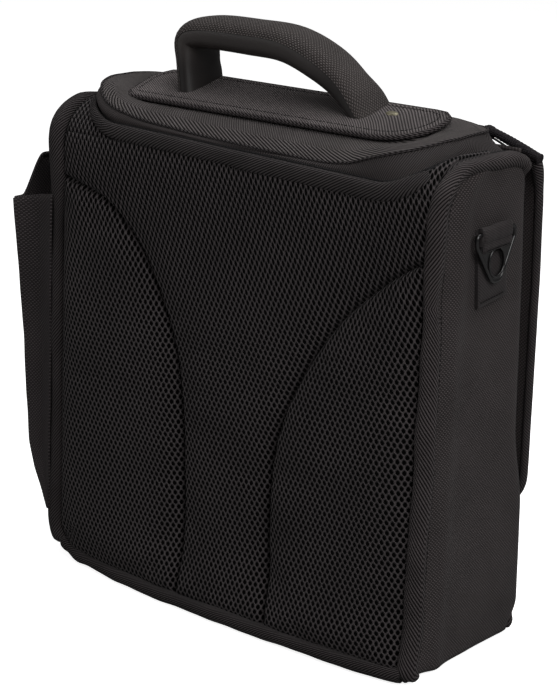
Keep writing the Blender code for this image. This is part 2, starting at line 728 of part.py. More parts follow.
def deck_ring(inset, rise):
    path = loop_path(DECK_HALF_WIDTH - inset, DECK_BACK_Y + inset, DECK_FRONT_Y - inset, DECK_RADIUS, DECK_RADIUS)
    return [(x, y, deck_z(y) + rise) for x, y in path]


def make_lid():
    axis = pivot("lid_pivot", (0.0, HINGE_Y, HINGE_Z))
    outer_low = [skin(x, s, 0.2) for x, s in zip_path(-2.0)]
    inner_low = [skin(x, s, 0.2) for x, s in zip_path(-4.2)]
    outer_high = lid_ring(0.0, 0.0)
    inner_high = lid_ring(2.2, 0.0)
    sections = [list(p) for p in zip(outer_low, outer_high, inner_high, inner_low)]
    pieces = [loft("lid_gusset", "zip_tape", sections, closed=True)]
    coil = strip("zip_coil_lid", "zip_coil", zip_path(-0.2 - COIL_WIDTH), zip_path(-0.2), -0.6, 0.9)
    pieces.append(coil)
    panel = [deck_ring(0.0, 0.0), lid_ring(0.0, LID_SEAM), lid_ring(4.5, LID_SEAM), deck_ring(3.0, -4.0)]
    pieces.append(loft("lid_panel", "ballistic_nylon", panel))

    tilt = Matrix.Rotation(math.atan(DECK_SLOPE), 4, "X")
    cosine = math.cos(math.atan(DECK_SLOPE))
    reach = DECK_HALF_WIDTH - PLATFORM_INSET
    far = DECK_FRONT_Y - DECK_BACK_Y - PLATFORM_INSET
    outline = rounded([(x, y / cosine, DECK_RADIUS - PLATFORM_INSET) for x, y in (
        (-reach, PLATFORM_INSET), (reach, PLATFORM_INSET), (reach, far), (-reach, far))])
    platform = prism("handle_platform", "ballistic_nylon", [outline], "Z", GAP, GAP + PLATFORM_THICK)
    platform.matrix_world = Matrix.Translation(Vector((0, DECK_BACK_Y, DECK_Z)) * MM) @ tilt @ platform.matrix_world
    pieces.append(platform)

    def on_platform(x, y, up):
        """Place on the platform's upper face."""
        run = (y - DECK_BACK_Y) / cosine
        return Matrix.Translation(Vector((0, DECK_BACK_Y, DECK_Z)) * MM) @ tilt @ Vector(
            (x * MM, run * MM, (GAP + PLATFORM_THICK + up) * MM))

    rivet = cylinder("handle_rivet", "brass", 5.0, 1.4, (0, 0, 1), (0, 0, 0), 20)
    rivet.matrix_world = Matrix.Translation(on_platform(82.0, 62.0, 0.7 + GAP)) @ tilt
    pieces.append(rivet)
    for side, x in (("left", HANDLE_ROUTE[0][0]), ("right", HANDLE_ROUTE[-1][0])):
        anchor = box("handle_anchor_" + side, "webbing", (-3, 3), (-5, 5), (0, 1.8))
        bpy.context.view_layer.update()
        anchor.matrix_world = Matrix.Translation(on_platform(x, HANDLE_Y, GAP + 0.9)) @ tilt
        pieces.append(anchor)
    bpy.context.view_layer.update()
    for piece in pieces:
        attach(piece, axis)
    return axis


def make_handle(lid_axis):
    """Padded arch in two halves: the woven sleeve outside, the smooth lining inside."""
    foot = deck_z(HANDLE_Y) + (GAP + PLATFORM_THICK) / math.cos(math.atan(DECK_SLOPE)) + HANDLE_LIFT
    axis = pivot("handle_pivot", (0.0, HANDLE_Y, foot - HANDLE_LIFT / 2))
    route = spline_through([(x, foot if z is None else z, t) for x, z, t in HANDLE_ROUTE], 3)
    sleeve, lining = [], []
    for i, p in enumerate(route):
        ahead = route[min(i + 1, len(route) - 1)]
        behind = route[max(i - 1, 0)]
        along = Vector((ahead.x - behind.x, ahead.y - behind.y)).normalized()
        out = Vector((-along.y, along.x))
        low = 1.0 - smooth_step((p.y - foot) / 20.0)
        def at(width, lift):
            slide = low * (DECK_SLOPE * width - out.y * lift) / along.y if low > 0 else 0.0
            return (p.x + out.x * lift + along.x * slide, HANDLE_Y + width,
                    p.y + out.y * lift + along.y * slide)

        half, thick = HANDLE_HALF_WIDTH, p.z / 2
        split = 0.12 * thick
        sleeve.append([at(-half, split), at(-half * 0.93, thick * 0.70), at(-half * 0.62, thick),
                       at(half * 0.62, thick), at(half * 0.93, thick * 0.70), at(half, split)])
        split -= GAP
        lining.append([at(-half, split), at(half, split), at(half * 0.93, -thick * 0.70),
                       at(half * 0.62, -thick), at(-half * 0.62, -thick), at(-half * 0.93, -thick * 0.70)])
    pieces = [loft("handle_sleeve", "ballistic_nylon", sleeve), loft("handle_lining", "vinyl", lining)]
    bpy.context.view_layer.update()
    for piece in pieces:
        attach(piece, axis)
    axis.parent = lid_axis
    axis.matrix_parent_inverse = Matrix.Translation(-lid_axis.location)


# ---------------------------------------------------------------- zip slider

def make_slider():
    axis = pivot("slider_track", SLIDER_AT)
    half = [v / 2 for v in SLIDER_SIZE]
    x, y, z = SLIDER_AT
    slider = box("zip_slider", "cast_metal", (x - half[0], x + half[0]), (y - half[1], y + half[1]),
                 (z - half[2], z + half[2]))
    soften = slider.modifiers.new("rounded edges", "BEVEL")
    soften.width = 1.0 * MM
    soften.segments = 2
    swing = pivot("pull_pivot", PULL_PIVOT)
    grip = spline_through(PULL_ROUTE, 3)
    pull = tube("zip_pull", "rubber", grip, PULL_RADIUS)
    cord = tube("zip_pull_cord", "webbing", [(p.x, p.y, p.z - CORD_DROP) for p in grip], CORD_RADIUS)
    bpy.context.view_layer.update()
    attach(slider, axis)
    attach(pull, swing)
    attach(cord, swing)
    swing.parent = axis
    swing.matrix_parent_inverse = Matrix.Translation(-axis.location)


make_sides()
make_walls()
make_back_pads()
make_opening()
make_boards()
make_trays()
for which, direction, level in (("right", 1, RING_Z_RIGHT), ("left", -1, RING_Z_LEFT)):
    make_strap_tab(which, direction, level)
    make_ring(which, direction, level)
make_side_pocket()
make_front_pocket()
make_flap()
make_handle(make_lid())
make_slider()

for piece in list(case.objects) + list(cutters.objects):
    if piece.parent is None:
        piece.location.y -= BASE_MIDDLE * MM
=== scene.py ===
"""Looks of the soft miniature carry case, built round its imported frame."""
from math import atan, atan2, cos, degrees, dist, exp, pi, radians, sin, sqrt, tan

import bmesh
import bpy
import numpy as np
from mathutils import Matrix, Vector


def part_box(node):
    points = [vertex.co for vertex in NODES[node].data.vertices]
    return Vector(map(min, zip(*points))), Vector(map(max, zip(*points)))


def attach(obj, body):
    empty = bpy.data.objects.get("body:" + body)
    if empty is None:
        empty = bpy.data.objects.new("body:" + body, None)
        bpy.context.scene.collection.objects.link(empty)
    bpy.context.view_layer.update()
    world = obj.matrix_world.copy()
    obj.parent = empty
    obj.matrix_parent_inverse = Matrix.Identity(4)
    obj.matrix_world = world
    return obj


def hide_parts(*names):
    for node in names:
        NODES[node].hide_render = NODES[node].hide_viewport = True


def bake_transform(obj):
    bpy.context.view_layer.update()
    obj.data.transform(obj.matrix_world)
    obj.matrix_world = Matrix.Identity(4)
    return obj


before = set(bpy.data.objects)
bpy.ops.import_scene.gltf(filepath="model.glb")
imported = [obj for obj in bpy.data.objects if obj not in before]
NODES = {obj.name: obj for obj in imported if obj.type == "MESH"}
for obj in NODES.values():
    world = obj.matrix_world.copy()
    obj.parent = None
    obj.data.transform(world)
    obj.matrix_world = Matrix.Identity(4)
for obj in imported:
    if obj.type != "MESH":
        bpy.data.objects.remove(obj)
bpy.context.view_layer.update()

MM = 0.001
BACK_Y = -60.0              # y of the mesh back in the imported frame; y below is in mm from it
SKEW = 0.024                # the lid of the real case sits higher at its left
# Heights of the lid's edge at distances along it from the middle of the back.
EDGE_LEFT = ((0, 47, 93, 117, 130, 140, 150, 168, 190, 215, 240),
             (332, 334, 337, 341.5, 346, 351, 354.5, 357.5, 358, 356.5, 354))
EDGE_RIGHT = ((0, 60, 75, 90, 104, 112, 127, 141, 156, 186, 215, 240),
              (332, 330.5, 331, 333.5, 338.5, 341, 345, 348.5, 352, 353.5, 354, 353.5))
# The pocket's outer panel: heights, and distances from the middle of the case.
POCKET_Z = (35, 50, 64, 84, 120, 167, 215, 266, 300)
POCKET_OUT = (167, 173.5, 180.5, 187, 190, 193, 199, 205, 208)
HALF = 165.0                # of the width of the case
HEIGHT = 344.0
BASE_Z = 2.3                # the lower edge of the sides
DEPTH_BASE = 120.0
DEPTH_TOP = 100.0
FRONT_TOP_Z = 338.0
FOOT_SWELL = 14.0           # of the padded back over its bottom tape
NECK_Z = 254.0              # where the right binding twists and is narrowest
TOP_FLAT_END = 82.0         # y from which the top falls towards the front
BACK_RADIUS = 35.0          # of the fold between the back and the top
SIDES = (("left", -1), ("right", 1))
SLOPE = 0.28                # of the handle platform
DECK_Y, DECK_Z = 28.0, 345.6    # the low edge of the sloped top of the lid
TAB_LEAN, TAB_DROP, TAB_TWIST = 0.11, -0.05, 0.08      # how askew the strap tabs are sewn on
FLOOR_GLOW = 0.86           # how white the floor is to the camera
BAR_RADIUS = 1.9            # of a strap ring's bar
BAR_X = 170.5               # how far out the bars of the strap rings hang
WALL_X = 166.0              # the outside of the side cloth
BINDING_X = 162.6           # the middle of a side binding
HANDLE_Y = 58.0
HANDLE_HALF_WIDTH = 18.2
ZIP_END_X = 98.5            # the zip runs from one of these round to the other
POCKET_FOOT = 36.0
POCKET_NEAR, POCKET_FAR = -4.0, 84.0
POCKET_TOP = 266.0
POCKET_CREST = 29.0         # how far the pocket's free edge rises above its ends
FLAP_HALF = 160.0
FLAP_FOOT = 86.0
FLAP_CORNER = 26.0
DARK = (0.0014, 0.0011, 0.0011)     # the gaps between ribs


# --- shader maths

class Num:
    """A socket that carries a number, with the usual arithmetic."""

    def __init__(self, tree, socket):
        self.tree = tree
        self.socket = socket

    def op(self, kind, *others):
        node = self.tree.nodes.new("ShaderNodeMath")
        node.operation = kind
        self.tree.links.new(self.socket, node.inputs[0])
        for place, other in zip(node.inputs[1:], others):
            if isinstance(other, Num):
                self.tree.links.new(other.socket, place)
            else:
                place.default_value = other
        return Num(self.tree, node.outputs[0])

    def ramp(self, low, high):
        """0 below low and 1 above high, smooth between."""
        node = self.tree.nodes.new("ShaderNodeMapRange")
        node.interpolation_type = "SMOOTHSTEP"
        node.inputs["From Min"].default_value = low
        node.inputs["From Max"].default_value = high
        self.tree.links.new(self.socket, node.inputs["Value"])
        return Num(self.tree, node.outputs["Result"])

    def mix(self, a, b):
        """a where this is 0 and b where it is 1."""
        return (b - a) * self + a


for _method, _kind in (("__add__", "ADD"), ("__sub__", "SUBTRACT"), ("__mul__", "MULTIPLY"),
                       ("__truediv__", "DIVIDE"), ("sin", "SINE"), ("fract", "FRACT"),
                       ("abs", "ABSOLUTE"), ("min", "MINIMUM"), ("max", "MAXIMUM"), ("power", "POWER")):
    setattr(Num, _method, lambda self, *others, kind=_kind: self.op(kind, *others))


class Look:
    """A Principled material under construction."""

    def __init__(self, name, rough=0.8, metal=0.0, sheen=0.0, specular=0.4):
        self.material = bpy.data.materials.new(name)
        self.material.use_nodes = True
        self.tree = self.material.node_tree
        self.shader = self.tree.nodes["Principled BSDF"]
        self.shader.inputs["Roughness"].default_value = rough
        self.shader.inputs["Metallic"].default_value = metal
        self.shader.inputs["Sheen Weight"].default_value = sheen
        self.shader.inputs["Sheen Roughness"].default_value = 0.5
        self.shader.inputs["Specular IOR Level"].default_value = specular

    def uv(self):
        """Surface coordinates in millimetres."""
        node = self.tree.nodes.new("ShaderNodeUVMap")
        node.uv_map = "UVMap"
        split = self.tree.nodes.new("ShaderNodeSeparateXYZ")
        self.tree.links.new(node.outputs["UV"], split.inputs[0])
        return [Num(self.tree, split.outputs[k]) * 100.0 for k in (0, 1)]

    def place(self):
        """Object coordinates in millimetres, and the vector socket itself."""
        node = self.tree.nodes.new("ShaderNodeTexCoord")
        split = self.tree.nodes.new("ShaderNodeSeparateXYZ")
        self.tree.links.new(node.outputs["Object"], split.inputs[0])
        return [Num(self.tree, split.outputs[k]) * 1000.0 for k in (0, 1, 2)], node.outputs["Object"]

    def noise(self, scale, detail=2.0):
        """Noise about 0.5 in object space; scale is per metre."""
        coords = self.place()[1]
        node = self.tree.nodes.new("ShaderNodeTexNoise")
        node.inputs["Scale"].default_value = scale
        node.inputs["Detail"].default_value = detail
        self.tree.links.new(coords, node.inputs["Vector"])
        return Num(self.tree, node.outputs["Fac"])

    def colour(self, factor, dark, light):
        """Base colour from dark to light by a number."""
        ramp = self.tree.nodes.new("ShaderNodeValToRGB")
        ramp.color_ramp.elements[0].color = (*dark, 1.0)
        ramp.color_ramp.elements[1].color = (*light, 1.0)
        self.tree.links.new(factor.socket, ramp.inputs["Fac"])
        self.tree.links.new(ramp.outputs["Color"], self.shader.inputs["Base Color"])
        self.material.diffuse_color = (*light, 1.0)
        return self

    def bump(self, height, distance):
        """Relief of a height between 0 and 1, with its depth in millimetres."""
        node = self.tree.nodes.new("ShaderNodeBump")
        node.inputs["Distance"].default_value = distance * MM
        node.inputs["Strength"].default_value = 1.0
        self.tree.links.new(height.socket, node.inputs["Height"])
        self.tree.links.new(node.outputs["Normal"], self.shader.inputs["Normal"])
        return self

    def roughness(self, value):
        self.tree.links.new(value.socket, self.shader.inputs["Roughness"])
        return self

    def shine(self, value):
        """Specular level: the gaps between threads shine less than the threads."""
        self.tree.links.new(value.socket, self.shader.inputs["Specular IOR Level"])
        return self


TAU = 2 * pi


def wave(value, pitch):
    """Even ribs between 0 and 1."""
    return (value * (TAU / pitch)).sin() * 0.5 + 0.5


def weave_height(u, v, pitch):
    """Plain weave: crossing threads that pass over and under each other."""
    over = ((u * (pi / pitch)).sin() * (v * (pi / pitch)).sin()).ramp(-0.25, 0.25)
    warp = (u * (pi / pitch)).sin().abs().power(0.7)
    weft = (v * (pi / pitch)).sin().abs().power(0.7)
    return over.mix(warp * 0.35, weft)


def make_air_mesh():
    """Knitted spacer mesh: a staggered net of oval holes, narrow and leaning high up, with a painted
    highlight along the middle of each strand.
    """
    look = Look("air_mesh_net", rough=0.75, sheen=0.05, specular=0.22)
    u, v = look.uv()
    wander = look.noise(14.0, 1.0) - 0.5
    low = (v * -1.0).ramp(60.0, 190.0)
    high = (v + 190.0).max(0.0)
    u = u + v * 0.09 + high * high * 0.0010 + wander * 5.0
    v = v + wander * 3.0
    nearest = None
    for shift in (0.0, 0.5):
        fu = (u / 4.2 + shift).fract() - 0.5
        fv = (v / 7.0 + shift).fract() - 0.5
        tall = low.mix(fv.abs() * (7.0 / 2.35), fv.abs() * (7.0 / 1.75))
        wide = low.mix(fu.abs() * (4.2 / 1.12), fu.abs() * (4.2 / 1.36))
        reach = wide.power(1.8) + tall.power(1.8)
        nearest = reach if nearest is None else nearest.min(reach)
    solid = nearest.ramp(0.60, 1.10)
    # painted highlight: a lighter line along the middle of each strand of the net
    crest = nearest.ramp(0.95, 1.75)
    knit = wave(v + u * 0.4, 0.92) * 0.5 + wave(u - v * 0.5, 1.0) * 0.3
    tone = solid * (crest * 0.60 + 0.34) * (knit * 0.8 + 0.55) * (look.noise(20.0) * 0.7 + 0.65)
    look.colour(tone, (0.0009, 0.0007, 0.0007), (0.088, 0.075, 0.077))
    return look.shine(solid * 0.22).bump(solid * 0.9 + crest * 0.35 + knit * 0.12, 1.0).material


def make_ballistic(name, pitch, light, depth):
    """Heavy plain weave with uneven threads."""
    look = Look(name, rough=0.58, sheen=0.04, specular=0.24)
    u, v = look.uv()
    height = weave_height(u + look.noise(40.0) * 0.5, v + look.noise(43.0) * 0.5, pitch)
    tone = (height * 1.0 + 0.06) * (look.noise(26.0) * 0.8 + 0.6)
    look.colour(tone, (0.0015, 0.0012, 0.0012), light)
    return look.shine(height * 0.30).bump(height, depth).material


def make_ribs(name, pitch, lean, light, depth=0.55, rough=0.75):
    """Twill: diagonal cords with fine cross threads."""
    look = Look(name, rough=rough, sheen=0.03, specular=0.22)
    u, v = look.uv()
    across = u + v * lean
    rib = wave(across + look.noise(45.0) * 0.9, pitch).power(0.9)
    thread = wave(v - u / (lean if abs(lean) > 0.4 else 8.0), 0.85)
    worn = look.noise(32.0) * 0.9 + 0.55
    tone = (rib * 0.75 + thread * rib * 0.35 + 0.05) * worn
    look.colour(tone, DARK, light)
    return look.shine(rib * 0.26).bump(rib + thread * 0.18, depth).material


def make_lid_cloth():
    """Heavy lid cloth: coarse ribs low on the curve and fine ones near the platform."""
    look = Look("lid_ribbed_cloth", rough=0.66, sheen=0.03, specular=0.24)
    u, v = look.uv()
    coarse = wave(u + v * 2.0 + look.noise(45.0) * 0.9, 4.1).power(0.9)
    fine = wave(u + v * 0.95, 2.2)
    upper = (v + look.noise(12.0, 1.0) * 3.0).ramp(10.2, 12.4)
    rib = upper.mix(coarse, fine * 0.55 + 0.24)
    thread = wave(v - u * 0.8, 0.9)
    tone = (rib * 0.78 + thread * rib * 0.25 + 0.04) * (look.noise(26.0) * 0.8 + 0.6)
    look.colour(tone, (0.0018, 0.0014, 0.0014), (0.140, 0.124, 0.122))
    return look.shine(rib * 0.28).bump(rib + thread * 0.2, 0.6).material


def make_zip_tape():
    """Woven zip tape: fine slanting ribs above, short upright stitches below, smoother at the left."""
    look = Look("zip_tape_weave", rough=0.55, sheen=0.02, specular=0.28)
    u, v = look.uv()
    stitch = wave(u + look.noise(60.0) * 0.4, 2.3).power(1.2)
    rows = wave(v, 4.2).power(0.7)
    low = (v * -1.0).ramp(-9.0, -7.8)
    fine = wave(u + v * 0.9, 2.0) * 0.75 + 0.2
    left = (look.place()[0][0] * -1.0).ramp(-40.0, 60.0)
    woven = low.mix(fine, stitch * rows)
    height = left.mix(woven, wave(u + v * 0.9, 1.4) * 0.3 + 0.35)
    tone = low.mix(fine * 0.85, stitch * rows * 0.9 + 0.08)
    tone = left.mix(tone, height * 1.7) * (look.noise(24.0) * 0.7 + 0.6)
    look.colour(tone, (0.0018, 0.0014, 0.0014), (0.072, 0.062, 0.062))
    return look.shine(height * 0.3).bump(height, 0.4).material


def make_vinyl():
    """Smooth vinyl of the handle, darker down its legs and lighter on top, as painted shade."""
    look = Look("handle_vinyl", rough=0.42, specular=0.4)
    grain = look.noise(1500.0, 3.0)
    patch = look.noise(28.0, 2.0)
    # painted shade: the colour darkens from the top of the arch down the legs
    height = look.place()[0][2].ramp(366.0, 392.0)
    tone = (grain * 0.35 + patch * 0.65) * (height * 0.85 + 0.25)
    look.colour(tone, (0.011, 0.009, 0.009), (0.066, 0.056, 0.053))
    look.roughness(patch * 0.25 + 0.30)
    return look.bump(grain, 0.05).material


def make_platform_cloth():
    """Ribbed cloth of the platform: slanting ribs, upright towards its right end."""
    look = Look("platform_twill", rough=0.75, sheen=0.03, specular=0.22)
    u, v = look.uv()
    v = v - 263.0
    right = u.ramp(40.0, 100.0)
    rib = wave(u + v * (right * -0.55 + 1.3) + look.noise(45.0) * 0.9, 2.5).power(0.9)
    thread = wave(v - u * 0.8, 0.95)
    tone = (rib * 0.66 + thread * 0.24 + thread * rib * 0.25 + 0.03) * (look.noise(32.0) * 0.8 + 0.58)
    look.colour(tone * (right * -0.30 + 1.14), DARK, (0.190, 0.167, 0.166))
    return look.shine(rib * 0.26).bump(rib * 0.8 + thread * 0.35, 0.45).material


def make_plain(name, light, rough, bump, scale, metal=0.0, sheen=0.0, specular=0.3, dark=0.35):
    """Smooth stuff with a fine grain: vinyl, moulded plastic, cast metal, foam."""
    look = Look(name, rough=rough, metal=metal, sheen=sheen, specular=specular)
    grain = look.noise(scale, 3.0)
    patch = look.noise(28.0, 2.0)
    look.colour(grain * 0.35 + patch * 0.65, tuple(c * dark for c in light), light)
    look.roughness(patch * 0.25 + (rough - 0.12))
    return look.bump(grain, bump).material


def make_braid(name, pitch, light):
    look = Look(name, rough=0.6, specular=0.25)
    u, v = look.uv()
    braid = (wave(u + v * 1.2, pitch) * wave(u - v * 1.2, pitch)).power(0.6)
    look.colour(braid * (look.noise(50.0) * 0.5 + 0.75), (0.003, 0.0025, 0.003), light)
    return look.bump(braid, 0.45).material


def make_foam():
    """Open-cell foam scored into squares for picking out."""
    look = Look("tray_foam_cells", rough=0.95, sheen=0.3, specular=0.2)
    (x, _, z), _ = look.place()
    lines = None
    for axis in (x, z):
        near = ((axis / 15.0).fract() - 0.5).abs()
        lines = near if lines is None else lines.max(near)
    score = (lines * -1.0).ramp(-0.49, -0.47)
    cells = look.noise(1500.0, 2.0)
    look.colour(score * (cells * 0.6 + 0.5), (0.004, 0.004, 0.004), (0.075, 0.075, 0.080))
    return look.bump(cells * 0.5 + score, 0.6).material


# Each finish is a material with the record's slot that it belongs to.
AIR_MESH = make_air_mesh(), "air_mesh"
BALLISTIC, SIDE_WEAVE, POCKET_WEAVE, HANDLE_WEAVE = (
    (make_ballistic(*values), "ballistic_nylon") for values in (
        ("ballistic_weave", 1.6, (0.090, 0.077, 0.079), 0.5),
        ("side_ballistic_weave", 1.25, (0.098, 0.083, 0.083), 0.60),
        ("pocket_weave", 1.35, (0.066, 0.055, 0.057), 0.60),
        ("handle_sleeve_weave", 1.25, (0.118, 0.102, 0.098), 0.65)))
# the third tape is the binding twill in a darker colour, painted shade for the left binding and the
# bottom tapes; its ribs are finer and lean the other way
RIM_TWILL, BIND_TWILL, BIND_TWILL_SHADED, FLAP_EDGE = (
    (make_ribs(*values), "twill_tape") for values in (
        ("rim_twill", 3.4, 1.5, (0.060, 0.052, 0.053)),
        ("binding_twill", 3.3, 1.5, (0.088, 0.075, 0.076)),
        ("binding_twill_painted_shade", 2.7, -1.6, (0.062, 0.053, 0.054)),
        ("flap_edge_twill", 2.2, -0.9, (0.085, 0.073, 0.075))))
PLATFORM_TWILL = make_platform_cloth(), "ballistic_nylon"
LID_CLOTH = make_lid_cloth(), "ballistic_nylon"
ZIP_TAPE = make_zip_tape(), "zip_tape"
LINING = make_vinyl(), "vinyl"
COIL = make_braid("zip_coil_plastic", 1.6, (0.024, 0.022, 0.024)), "zip_coil"
WEBBING = make_ribs("tab_webbing", 0.95, 0.0, (0.070, 0.061, 0.062), 0.12, 0.42), "webbing"
CAST, SLIDER_CAST = (
    (make_plain(*values, specular=gloss), "cast_metal") for *values, gloss in (
        ("ring_cast_black", (0.010, 0.009, 0.0095), 0.26, 0.02, 600.0, 0.7),
        ("slider_cast_black", (0.014, 0.013, 0.013), 0.35, 0.03, 600.0, 0.6)))
BRAID = make_braid("puller_braid", 1.7, (0.036, 0.028, 0.034)), "rubber"
CORD = BRAID[0], "webbing"
THREAD = make_braid("sewing_thread", 0.7, (0.040, 0.034, 0.036)), "webbing"
HOOK = make_plain("hook_and_loop", (0.024, 0.022, 0.024), 0.9, 0.5, 1200.0, sheen=0.2, specular=0.2)
BOARD = make_plain("stiffener_board", (0.060, 0.060, 0.062), 0.5, 0.04, 800.0), "board"
FOAM = make_foam(), "foam"
BRASS = make_plain("rivet_brass", (0.34, 0.31, 0.22), 0.42, 0.02, 700.0, metal=0.7, dark=0.4), "brass"


# --- mesh helpers

def round_feet(points):
    """Pull the lower corners of the back in, to arcs, as the sewn corners of the soft bag are."""
    points = points.copy()
    x, y, z = points.T
    for sign, radius in ((-1, 32.0), (1, 7.0)):
        a = np.clip(sign * x - (HALF + 2.0 - radius), 0.0, None)
        b = np.clip(radius - z, 0.0, None)
        far = np.sqrt(a * a + b * b)
        inside = (a > 0) & (b > 0)
        scale = np.where(inside, np.maximum(a, b) / np.maximum(far, 1e-9), 1.0)
        weight = 1.0 - rise(y, 6.0, 30.0)
        points[:, 0] = np.where(inside, x - sign * a * (1 - scale) * weight, points[:, 0])
        points[:, 2] = np.where(inside, z + b * (1 - scale) * weight, points[:, 2])
    return points


def put(name, data):
    """A new object in the scene."""
    obj = bpy.data.objects.new(name, data)
    bpy.context.scene.collection.objects.link(obj)
    return obj


def dress(name, mesh, finish, body, smooth):
    """A piece from its mesh, with its material and body."""
    obj = put(name, mesh)
    mesh.materials.append(finish[0])
    mesh.shade_smooth()
    mesh.set_sharp_from_angle(angle=radians(smooth))
    if body:
        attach(obj, body)
    return obj


def build(name, points, uvs, faces, finish, body, smooth=60.0):
    """Mesh from points in mm, faces of point indices, and uvs of the same corners in mm.

    finish is a material with its slot.
    """
    mesh = bpy.data.meshes.new(name)
    where = np.asarray(points, float)
    if body == "case" and not name.startswith("pocket"):
        where = round_feet(where)
    where = (where + (0.0, BACK_Y, 0.0)) * MM
    mesh.from_pydata(where.tolist(), [], faces)
    layer = mesh.uv_layers.new(name="UVMap")
    flat = np.asarray([c for face in uvs for c in face], float) / 100.0
    layer.data.foreach_set("uv", flat.ravel())
    mesh.update()
    return dress(name, mesh, finish, body, smooth)


def sheet_faces(rows, wrap=False, flip=False, close=False):
    """Quads over rows of points, and their (row, column) corners."""
    count = len(rows[0])
    faces, corners = [], []
    spans = len(rows) if close else len(rows) - 1
    for i in range(spans):
        for k in range(count if wrap else count - 1):
            ids = [(i, k), (i, k + 1), (i + 1, k + 1), (i + 1, k)]
            if flip:
                ids.reverse()
            corners.append(ids)
            faces.append([(r % len(rows)) * count + (c % count) for r, c in ids])
    return faces, corners


def surface(name, rows, uv, finish, body, wrap=False, flip=False, close=False, caps=False,
            thick=0.0, smooth=60.0):
    """Skin over rows of points; uv(row, column) gives mm along and across."""
    faces, corners = sheet_faces(rows, wrap, flip, close)
    uvs = [[uv(r, c) for r, c in face] for face in corners]
    points = [p for row in rows for p in row]
    if caps:
        count = len(rows[0])
        last = (len(rows) - 1) * count
        first = list(range(count))
        final = list(range(last, last + count))
        for ring, turn in ((first, not flip), (final, flip)):
            ring = ring[::-1] if turn else ring
            faces.append(ring)
            uvs.append([uv(0 if k < count else len(rows) - 1, k % count) for k in ring])
    obj = build(name, points, uvs, faces, finish, body, smooth)
    if thick:
        solid = obj.modifiers.new("thickness", "SOLIDIFY")
        solid.thickness = thick * MM
        solid.offset = -1.0
    return obj


def flat_uv(rows, across, along):
    """Surface coordinates straight from two of the axes of rows of points."""
    return lambda r, c: (rows[r][c][across], rows[r][c][along])


def looped(path, closed=True):
    """The points as an array, with the first one again at the end of a closed line."""
    pts = np.asarray(path, float)
    return np.vstack((pts, pts[:1])) if closed else pts


def lengths(path, closed=False):
    """Distance along a polyline to each of its points."""
    steps = np.linalg.norm(np.diff(looped(path, closed), axis=0), axis=1)
    return np.concatenate(([0.0], np.cumsum(steps)))


def spline(points, parts):
    """Catmull-Rom curve through points of any dimension."""
    pts = np.asarray(points, float)
    ends = np.vstack((2 * pts[0] - pts[1], pts, 2 * pts[-1] - pts[-2]))
    result = []
    for i in range(1, len(ends) - 2):
        p0, p1, p2, p3 = ends[i - 1:i + 3]
        for k in range(parts):
            t = k / parts
            result.append(0.5 * (2 * p1 + (p2 - p0) * t + (2 * p0 - 5 * p1 + 4 * p2 - p3) * t ** 2
                                 + (3 * p1 - p0 - 3 * p2 + p3) * t ** 3))
    result.append(pts[-1])
    return np.array(result)


def resample(path, step, closed=False, count=None):
    """Points at an even step along a polyline, or a given number of them."""
    pts = looped(path, closed)
    run = lengths(pts)
    count = count or max(2, int(round(run[-1] / step)))
    at = np.linspace(0.0, run[-1], count + 1)
    out = np.stack([np.interp(at, run, pts[:, k]) for k in range(pts.shape[1])], 1)
    return out[:-1] if closed else out


def frames(path, up, closed=False):
    """Tangents, sides and ups along a path, with up as near as it can be to the given one."""
    pts = np.asarray(path, float)
    if closed:
        ahead = np.roll(pts, -1, 0)
        behind = np.roll(pts, 1, 0)
    else:
        ahead = np.vstack((pts[1:], 2 * pts[-1] - pts[-2]))
        behind = np.vstack((2 * pts[0] - pts[1], pts[:-1]))
    tangent = ahead - behind
    tangent /= np.linalg.norm(tangent, axis=1)[:, None]
    ups = np.broadcast_to(np.asarray(up, float), pts.shape)
    side = np.cross(tangent, ups)
    side /= np.linalg.norm(side, axis=1)[:, None] + 1e-12
    return tangent, side, np.cross(side, tangent)


def oval(a, b, count, power=2.3):
    """Superellipse section."""
    angles = np.arange(count) / count * TAU
    c, s = np.cos(angles), np.sin(angles)
    return np.stack([size * np.sign(v) * np.abs(v) ** (2 / power) for size, v in ((a, c), (b, s))], 1)


def sweep(name, path, section, finish, body, up=(0, 0, 1), closed=False, scale=None):
    """Closed section (side, up) swept along a path; scale gives the size at each point."""
    path = np.asarray(path, float)
    _, side, upward = frames(path, up, closed)
    shape = np.asarray(section, float)
    scale = np.ones(len(path)) if scale is None else np.asarray(scale, float)
    rows = [p + (shape[:, :1] * s + shape[:, 1:] * u) * k
            for p, s, u, k in zip(path, side, upward, scale)]
    run = lengths(path, closed)
    around = lengths(shape, True)
    return surface(name, rows, lambda r, c: (run[r], around[c]), finish, body,
                   wrap=True, flip=True, close=closed, caps=not closed)


